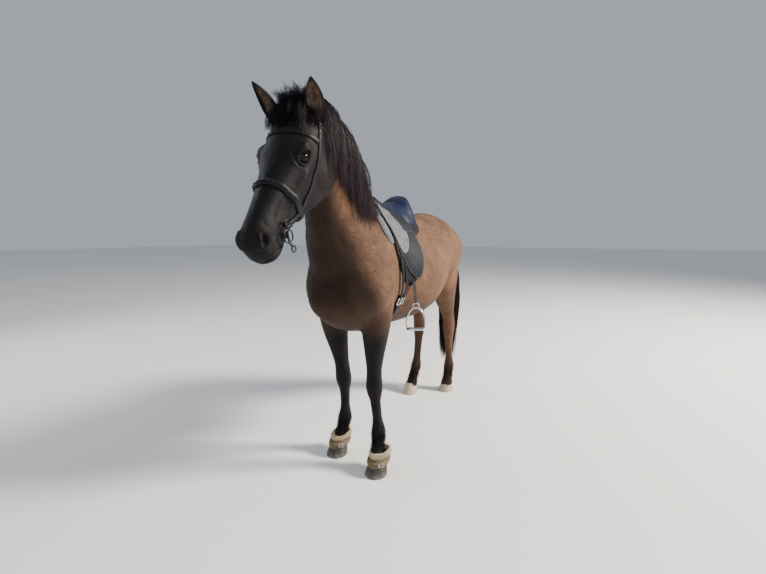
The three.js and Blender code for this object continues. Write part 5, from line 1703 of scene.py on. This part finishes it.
def make_girth(skin):
    """The girth, with two billets and their buckles on each side, and what the bridle shares with it."""
    # The faint blue in this black leather is a painted reflection of the sky.
    hide = leather_finish("strap_leather", rgb("07090d"), rgb("14171c"), 1.3, 0.42, rgb("14171c"))
    thread = thread_finish("black_thread", rgb("2a2927"), rgb("161514"))
    stitch = repeat_tree("strap_stitches", thread, 0.0052, 0.0038, 0.0008)
    steel = steel_finish("steel", rgb("c3c5c8"), rgb("8c8b88"))
    rings = girth_rings(skin)
    kept(strap_piece("belly_band", [rings]), hide, "black_leather", "girth")
    seams = [band_line(rings[3:-3], out) for out in (-0.86, 0.86, -0.28, 0.28)]
    for word, side in SIDES:
        for place, x, top, end in (("front", GIRTH_X + 18, 1108, 784), ("rear", GIRTH_X - 18, 1058, 806)):
            heights = np.r_[np.linspace(top, 925, 26), np.linspace(918, end, 18)]
            line = smoothed(side_line(skin, x, heights, side), 6)
            low = np.where(heights > 935, PADDING + 0.6, np.where(heights < 900, GIRTH_THICK + 1.6, PADDING))
            low = smoothed(low)
            band = strap(skin, line, STRAP_HALF, low, low + 3.6, 0.2, 46, 9)
            piece = strap_piece(f"strap_{place}_{word}", [band])
            kept(piece, hide, "black_leather", f"billet_{place}_{word}")
            seams += [band_line(band[1:-2], out) for out in (-0.8, 0.8)]
            at = side_line(skin, x, [875.0], side)[0]
            normal = skin.nearest(at)[1]
            across = np.array([1.0, 0, 0])
            along = unit(np.cross(normal, across) * side)
            along = along if along[2] > 0 else -along
            parts = buckle_parts(at + normal * (GIRTH_THICK + 5.4), across * side, along, 15.5, 17, 3.2)
            kept(joined_mesh(f"{place}_buckle_{word}", parts), steel, "steel", f"buckle_{place}_{word}")
    kept(repeated("girth_stitches", seams, stitch), thread, "black_leather")
    return hide, thread, stitch, steel


def make_stirrups(steel):
    """The irons and the leathers that they hang on, with pale cut edges."""
    edged = leather_finish("stirrup_hide", rgb("17181b"), rgb("303033"), 1.3, 0.42, rgb("8b8375"))
    for word, side in SIDES:
        iron, layers = stirrup_pieces(word, side)
        kept(iron, steel, "steel", f"stirrup_iron_{word}")
        kept(strap_piece(f"leather_{word}", layers), edged, "black_leather", f"stirrup_leather_{word}")


# Straps down the side of the head, in its x and z. Rows: line, places along it, half width, low, high
HEAD_STRAPS = [
    [[(52, -52), (96, -68), (136, -82)], 24, 9.5, 0.7, 4.2],
    [[(94, -64), (160, -92), (235, -118), (338, -143), (400, -128), (426, -98)], 60, 7.2, 0.9, 5.0],
    [[(60, -46), (62, -120), (60, -200), (48, -262)], 40, 6.2, 0.7, 4.0],
]


def make_bridle(skin, hide, thread, stitch):
    """Every strap and fitting on the head; the metal is browned steel."""
    steel = steel_finish("browned_steel", rgb("37383c"), rgb("1f1e1d"))
    bands = [strap(skin, head_band(skin, (70, -64), (-120, 110), 2, 178), 10, 0.7, 4.4)]
    bands.append(strap(skin, head_band(skin, (126, -78), (22, 138), 4, 176), 8.5, 0.7, 5.2, 1.2))
    for side in (1, -1):
        bands += [strap(skin, head_side(skin, line, side, count), *sizes) for line, count, *sizes in HEAD_STRAPS]
    kept(strap_piece("headstall", bands), hide, "black_leather", "bridle")
    round_nose = lambda first, last, count: head_band(skin, (340, -110), (-28, 300), first, last, count)
    nose = strap(skin, looped(round_nose(0, 354, 150)), 12, 0.7, 5.4, 2.2, 150)
    nose[-1] = nose[0]
    over_nose = strap(skin, round_nose(178, 2, 90), 5.5, 6.8, 9.4, 1.4)
    kept(strap_piece("nose_strap", [nose, over_nose]), hide, "black_leather", "noseband")
    lines = [band_line(b[1:-1], out) for b in [*bands, nose] for out in (-0.78, 0.78)]
    kept(repeated("bridle_stitches", lines, stitch, Spacing=0.0046, Length=0.0032), thread, "black_leather")
    stud = repeat_tree("studs", steel, 0.021, 0.0055, 0.0055)
    lines = [band_line(over_nose[2:-2], 0.0), band_line(bands[1][6:-6], 0.0)]
    kept(repeated("nose_studs", lines, stud), steel, "steel")
    kept(joined_mesh("bit_steel", bit_parts()), steel, "steel", "bit")
    fittings = []
    for side in (1, -1):
        for x, z in ((300, -136), (398, -129)):
            at, ahead = head_side(skin, [(x, z), (x + 14, z + 1)], side, 4)[[0, 3]]
            where, normal = skin.nearest(at)
            along = unit(ahead - at - normal * ((ahead - at) @ normal))
            fittings += buckle_parts(where + normal * 5.6, np.cross(normal, along), along, 9.5, 8.5, 1.5)
    kept(joined_mesh("bridle_buckles", fittings), steel, "steel")


def make_boots(steel):
    """Each front boot: a leather cuff, its strap and buckle, and a roll of fleece over it."""
    tan = leather_finish("tan_leather", rgb("665440"), rgb("8f7d5f"), 0.9, 0.5)
    fleece, wool = fleece_finish(), wool_finish()
    thread = thread_finish("boot_thread", rgb("d8cdb0"), rgb("a3977c"))
    stitch = repeat_tree("boot_stitches", thread, 0.0055, 0.004, 0.001)
    seams, fittings = [], []
    for word, _ in SIDES:
        leg = LEGS[f"foreleg_{word}"]
        bulge = lambda up, a: -0.8 + 0.9 * np.sin(3 * a + 1) + 1.2 * np.sin(np.pi * (up + 8) / 40)
        cuff = boot_rings(leg, BOOT, 16, bulge)
        kept(shell_piece(f"cuff_{word}", cuff, 5), tan, "tan_leather", f"boot_{word}")
        belt = boot_rings(leg, BOOT_STRAP, 7, lambda up, a: 1.3 * np.sin(np.pi * up / 18) - 0.6 + 0 * a)
        kept(shell_piece(f"belt_{word}", belt, 2.8), tan, "tan_leather", f"boot_strap_{word}")
        seams += [looped(ring) for ring in (cuff[1], cuff[-2], belt[1], belt[-2])]
        lumps = lambda up, a: 1.6 * np.sin(11 * a + up) * np.sin(7 * a - up * 0.3) - 1.5
        roll = boot_rings(leg, FLEECE_ROLL, 14, lumps)
        collar = shell_piece(f"collar_{word}", roll, 12)
        kept(collar, fleece, "fleece", f"boot_fleece_{word}")
        kept(wool_tufts(f"wool_{word}", roll, 2200), wool, "fleece")
        at = belt[3][10]
        out = unit(at - belt[3].mean(0))
        across = unit(np.cross([0, 0, 1], out))
        fittings += buckle_parts(at + out * 2.5, np.cross(across, out), across, 10, 11, 1.8)
    kept(repeated("boot_seams", seams, stitch), thread, "tan_leather")
    kept(joined_mesh("boot_buckles", fittings), steel, "steel")


def wool_tufts(name, rings, count):
    """Short curled tufts all over a roll of fleece."""
    rows, columns = rings.shape[:2]
    row = rng.random(count) * (rows - 1.01)
    col = rng.random(count) * columns
    i, j = row.astype(int), col.astype(int)
    base = rings[i, j] * (1 - (row - i))[:, None] + rings[i + 1, j] * (row - i)[:, None]
    out = base - rings.reshape(-1, 3).mean(0)
    out = unit(out * [1, 1, 0.5] + np.c_[np.zeros((count, 2)), (row / rows - 0.4) * 40])
    s = np.linspace(0, 1, 4)[None, :, None]
    length = rng.uniform(4, 8, count)[:, None, None]
    bend = unit(rng.normal(0, 1, (count, 3)))[:, None]
    lines = base[:, None] - out[:, None] * 1.5 + (out[:, None] * s + bend * s**2 * 0.5) * length
    up = unit(np.cross(unit(np.gradient(lines, axis=1)), bend))
    hair = dict(points=lines, up=up, width=rng.uniform(1.4, 2.4, count), owner=np.zeros(count, int))
    return strand_piece(name, hair, 0.02 + 0.95 * np.c_[col / columns, row / rows])


# Studio
CAMERA = dict(place=(2180, 1090, 1205), yaw=207.7, pitch=7.2, focal=410, frame_width=766, sensor=36.0)


def set_camera():
    data = bpy.data.cameras.new("camera")
    data.sensor_width = CAMERA["sensor"]
    data.lens = CAMERA["focal"] / CAMERA["frame_width"] * CAMERA["sensor"]
    camera = linked("camera", data)
    yaw, pitch = math.radians(CAMERA["yaw"]), math.radians(CAMERA["pitch"])
    look = Vector((math.cos(yaw) * math.cos(pitch), math.sin(yaw) * math.cos(pitch), -math.sin(pitch)))
    camera.location = placed(CAMERA["place"])
    camera.rotation_mode = "QUATERNION"
    camera.rotation_quaternion = look.to_track_quat("-Z", "Y")
    bpy.context.scene.camera = camera


# Rows: lamp, place and size in metres, power, colour
LAMPS = [
    ["sun_side", (-3.2, 6.5, 5.4), 2.0, 1900, (1.0, 0.93, 0.83)],
    ["fill", (4.5, 1.5, 2.4), 3.0, 40, (0.9, 0.95, 1.0)],
    ["front_lamp", (3.4, 2.9, 2.7), 0.3, 9, (0.85, 0.92, 1.0)],
    ["off_side", (0.5, -4.5, 3.2), 3.0, 80, (0.95, 0.97, 1.0)],
]


def set_studio():
    """A pale floor, a soft sky and the lamps."""
    mesh = bpy.data.meshes.new("floor")
    mesh.from_pydata([(-40, -40, 0), (40, -40, 0), (40, 40, 0), (-40, 40, 0)], [], [(0, 1, 2, 3)])
    f = Finish("floor")
    tone = f.blend(f.noise(0.8), rgb("e6e5e2"), rgb("ecebe9"))
    mesh.materials.append(f.done(Base_Color=tone, Roughness=0.85))
    linked("floor", mesh)
    world = bpy.data.worlds.new("studio")
    bpy.context.scene.world = world
    world.use_nodes = True
    sky = world.node_tree.nodes["Background"].inputs
    sky["Color"].default_value = (0.80, 0.87, 0.97, 1)
    sky["Strength"].default_value = 0.5
    for name, place, size, power, colour in LAMPS:
        data = bpy.data.lights.new(name, "AREA")
        data.shape, data.size, data.energy, data.color = "DISK", size, power, colour
        lamp = linked(name, data)
        lamp.location = place
        lamp.rotation_mode = "QUATERNION"
        lamp.rotation_quaternion = (Vector((0, 0, 0.9)) - Vector(place)).to_track_quat("-Z", "Y")


FLESH = ["torso", "neck", "head", "foreleg_left", "foreleg_right", "hindleg_left", "hindleg_right"]
set_camera()
set_studio()
skin = skin_piece()
mark_and_shade(skin, horse_points(skin.data))
kept(skin, coat_finish("coat"), "coat", *FLESH)
body = Skin(skin)

for name, e in EARS.items():
    kept(ear_piece(name, e), ear_finish(), "dark_coat", name)
for word, side in SIDES:
    kept(eye_piece(f"eye_{word}", side), eye_finish(), "eye", f"eye_{word}")
horn = {
    "fore": hoof_finish("fore_hoof", rgb("241f1b"), rgb("3d352e"), rgb("3f342b")),
    "hind": hoof_finish("hind_hoof", rgb("a8937a"), rgb("cdbda2"), rgb("a9744f")),
}
for name, leg in LEGS.items():
    hoof, end = name.replace("leg", "hoof"), name[:4]
    kept(hoof_piece(hoof, leg), horn[end], f"{end}_hoof", hoof)

mane_hair = hair_finish("mane_hair", rgb("08070a"), rgb("110d12"), rgb("402e36"))
tail_hair = hair_finish("tail_hair", rgb("0e0b0b"), rgb("1a1313"), rgb("38281f"))
forelock_hair = hair_finish("forelock_hair", rgb("08070b"), rgb("100c12"), rgb("2a1c24"))
columns, rows = MANE_GUIDES
guides = mane_guides(body)
for name, part in (("mane_low", guides[:columns // 2 * rows]), ("mane_high", guides[columns // 2 * rows:])):
    hair = strands(part, 16, spread=14, thickness=1.5, steps=10, curl=7.0, tip=0.8, ragged=0.45, stray=0.25)
    homes = homes_of(hair["owner"], columns // 2, rows)
    kept(strand_piece(name, hair, homes), mane_hair, "tail_hair", "neck")
guides = forelock_guides(body)
hair = strands(guides, 23, spread=11, thickness=1.05, steps=9, curl=4.0, tip=0.9, ragged=0.45, stray=0.14)
homes = homes_of(hair["owner"], *FORELOCK_GUIDES)
kept(strand_piece("forelock", hair, homes), forelock_hair, "tail_hair", "head")
guides = tail_guides()
for k in range(2):
    hair = strands(guides[k::2], 20, spread=9, thickness=1.6, steps=11, curl=5.0, tip=0.4)
    kept(strand_piece(f"tail_{k + 1}", hair, homes_of(hair["owner"], 12, 10)), tail_hair, "tail_hair", "tail")

# Loose hair. Rows: piece, hairs, how much is wanted at a place, length, rise off the skin, width
near_ear = lambda p: sum(near(in_head(p), (34, y, -30), (62, 60, 62)) for y in (70, -70))
by_fetlock = lambda p: np.exp(-(((p[:, 2] - 165) / 48) ** 2)) * (p[:, 2] < 300)
short = lambda p: np.where(p[:, 2] < 560, 7.0, 10.0)
feather = lambda p: (14 + 16 * np.exp(-(((p[:, 2] - 160) / 40) ** 2))) * np.where(p[:, 0] < 0, 1.3, 1)
loose = coat_finish("loose_coat", True)
for name, count, wanted, length, rise, width in (
    ("coat_front", 9800, lambda p: (p[:, 0] > 120) * 1.0 * (from_face(p) > 0.95), short, 0.16, 0.9),
    ("coat_back", 9800, lambda p: (p[:, 0] <= 120) * 1.0, short, 0.16, 0.9),
    ("coat_face", 6500, lambda p: (from_face(p) < 1.02) * 1.0,
     lambda p: 4.5 + 3 * smoothstep(-in_head(p)[:, 2], 120, 230), 0.14, 0.6),
    ("poll_hair", 3200, near_ear, lambda p: 17 + 13 * (in_head(p)[:, 0] < 30), 0.42, 1.0),
    ("fetlock_hair", 3700, by_fetlock, feather, 0.28, 1.2),
):
    kept(coat_hair(skin, name, count, wanted, length, rise, width), loose, "coat")
make_saddle(body)
hide, thread, stitch, steel = make_girth(body)
make_stirrups(steel)
make_bridle(body, hide, thread, stitch)
make_boots(steel)
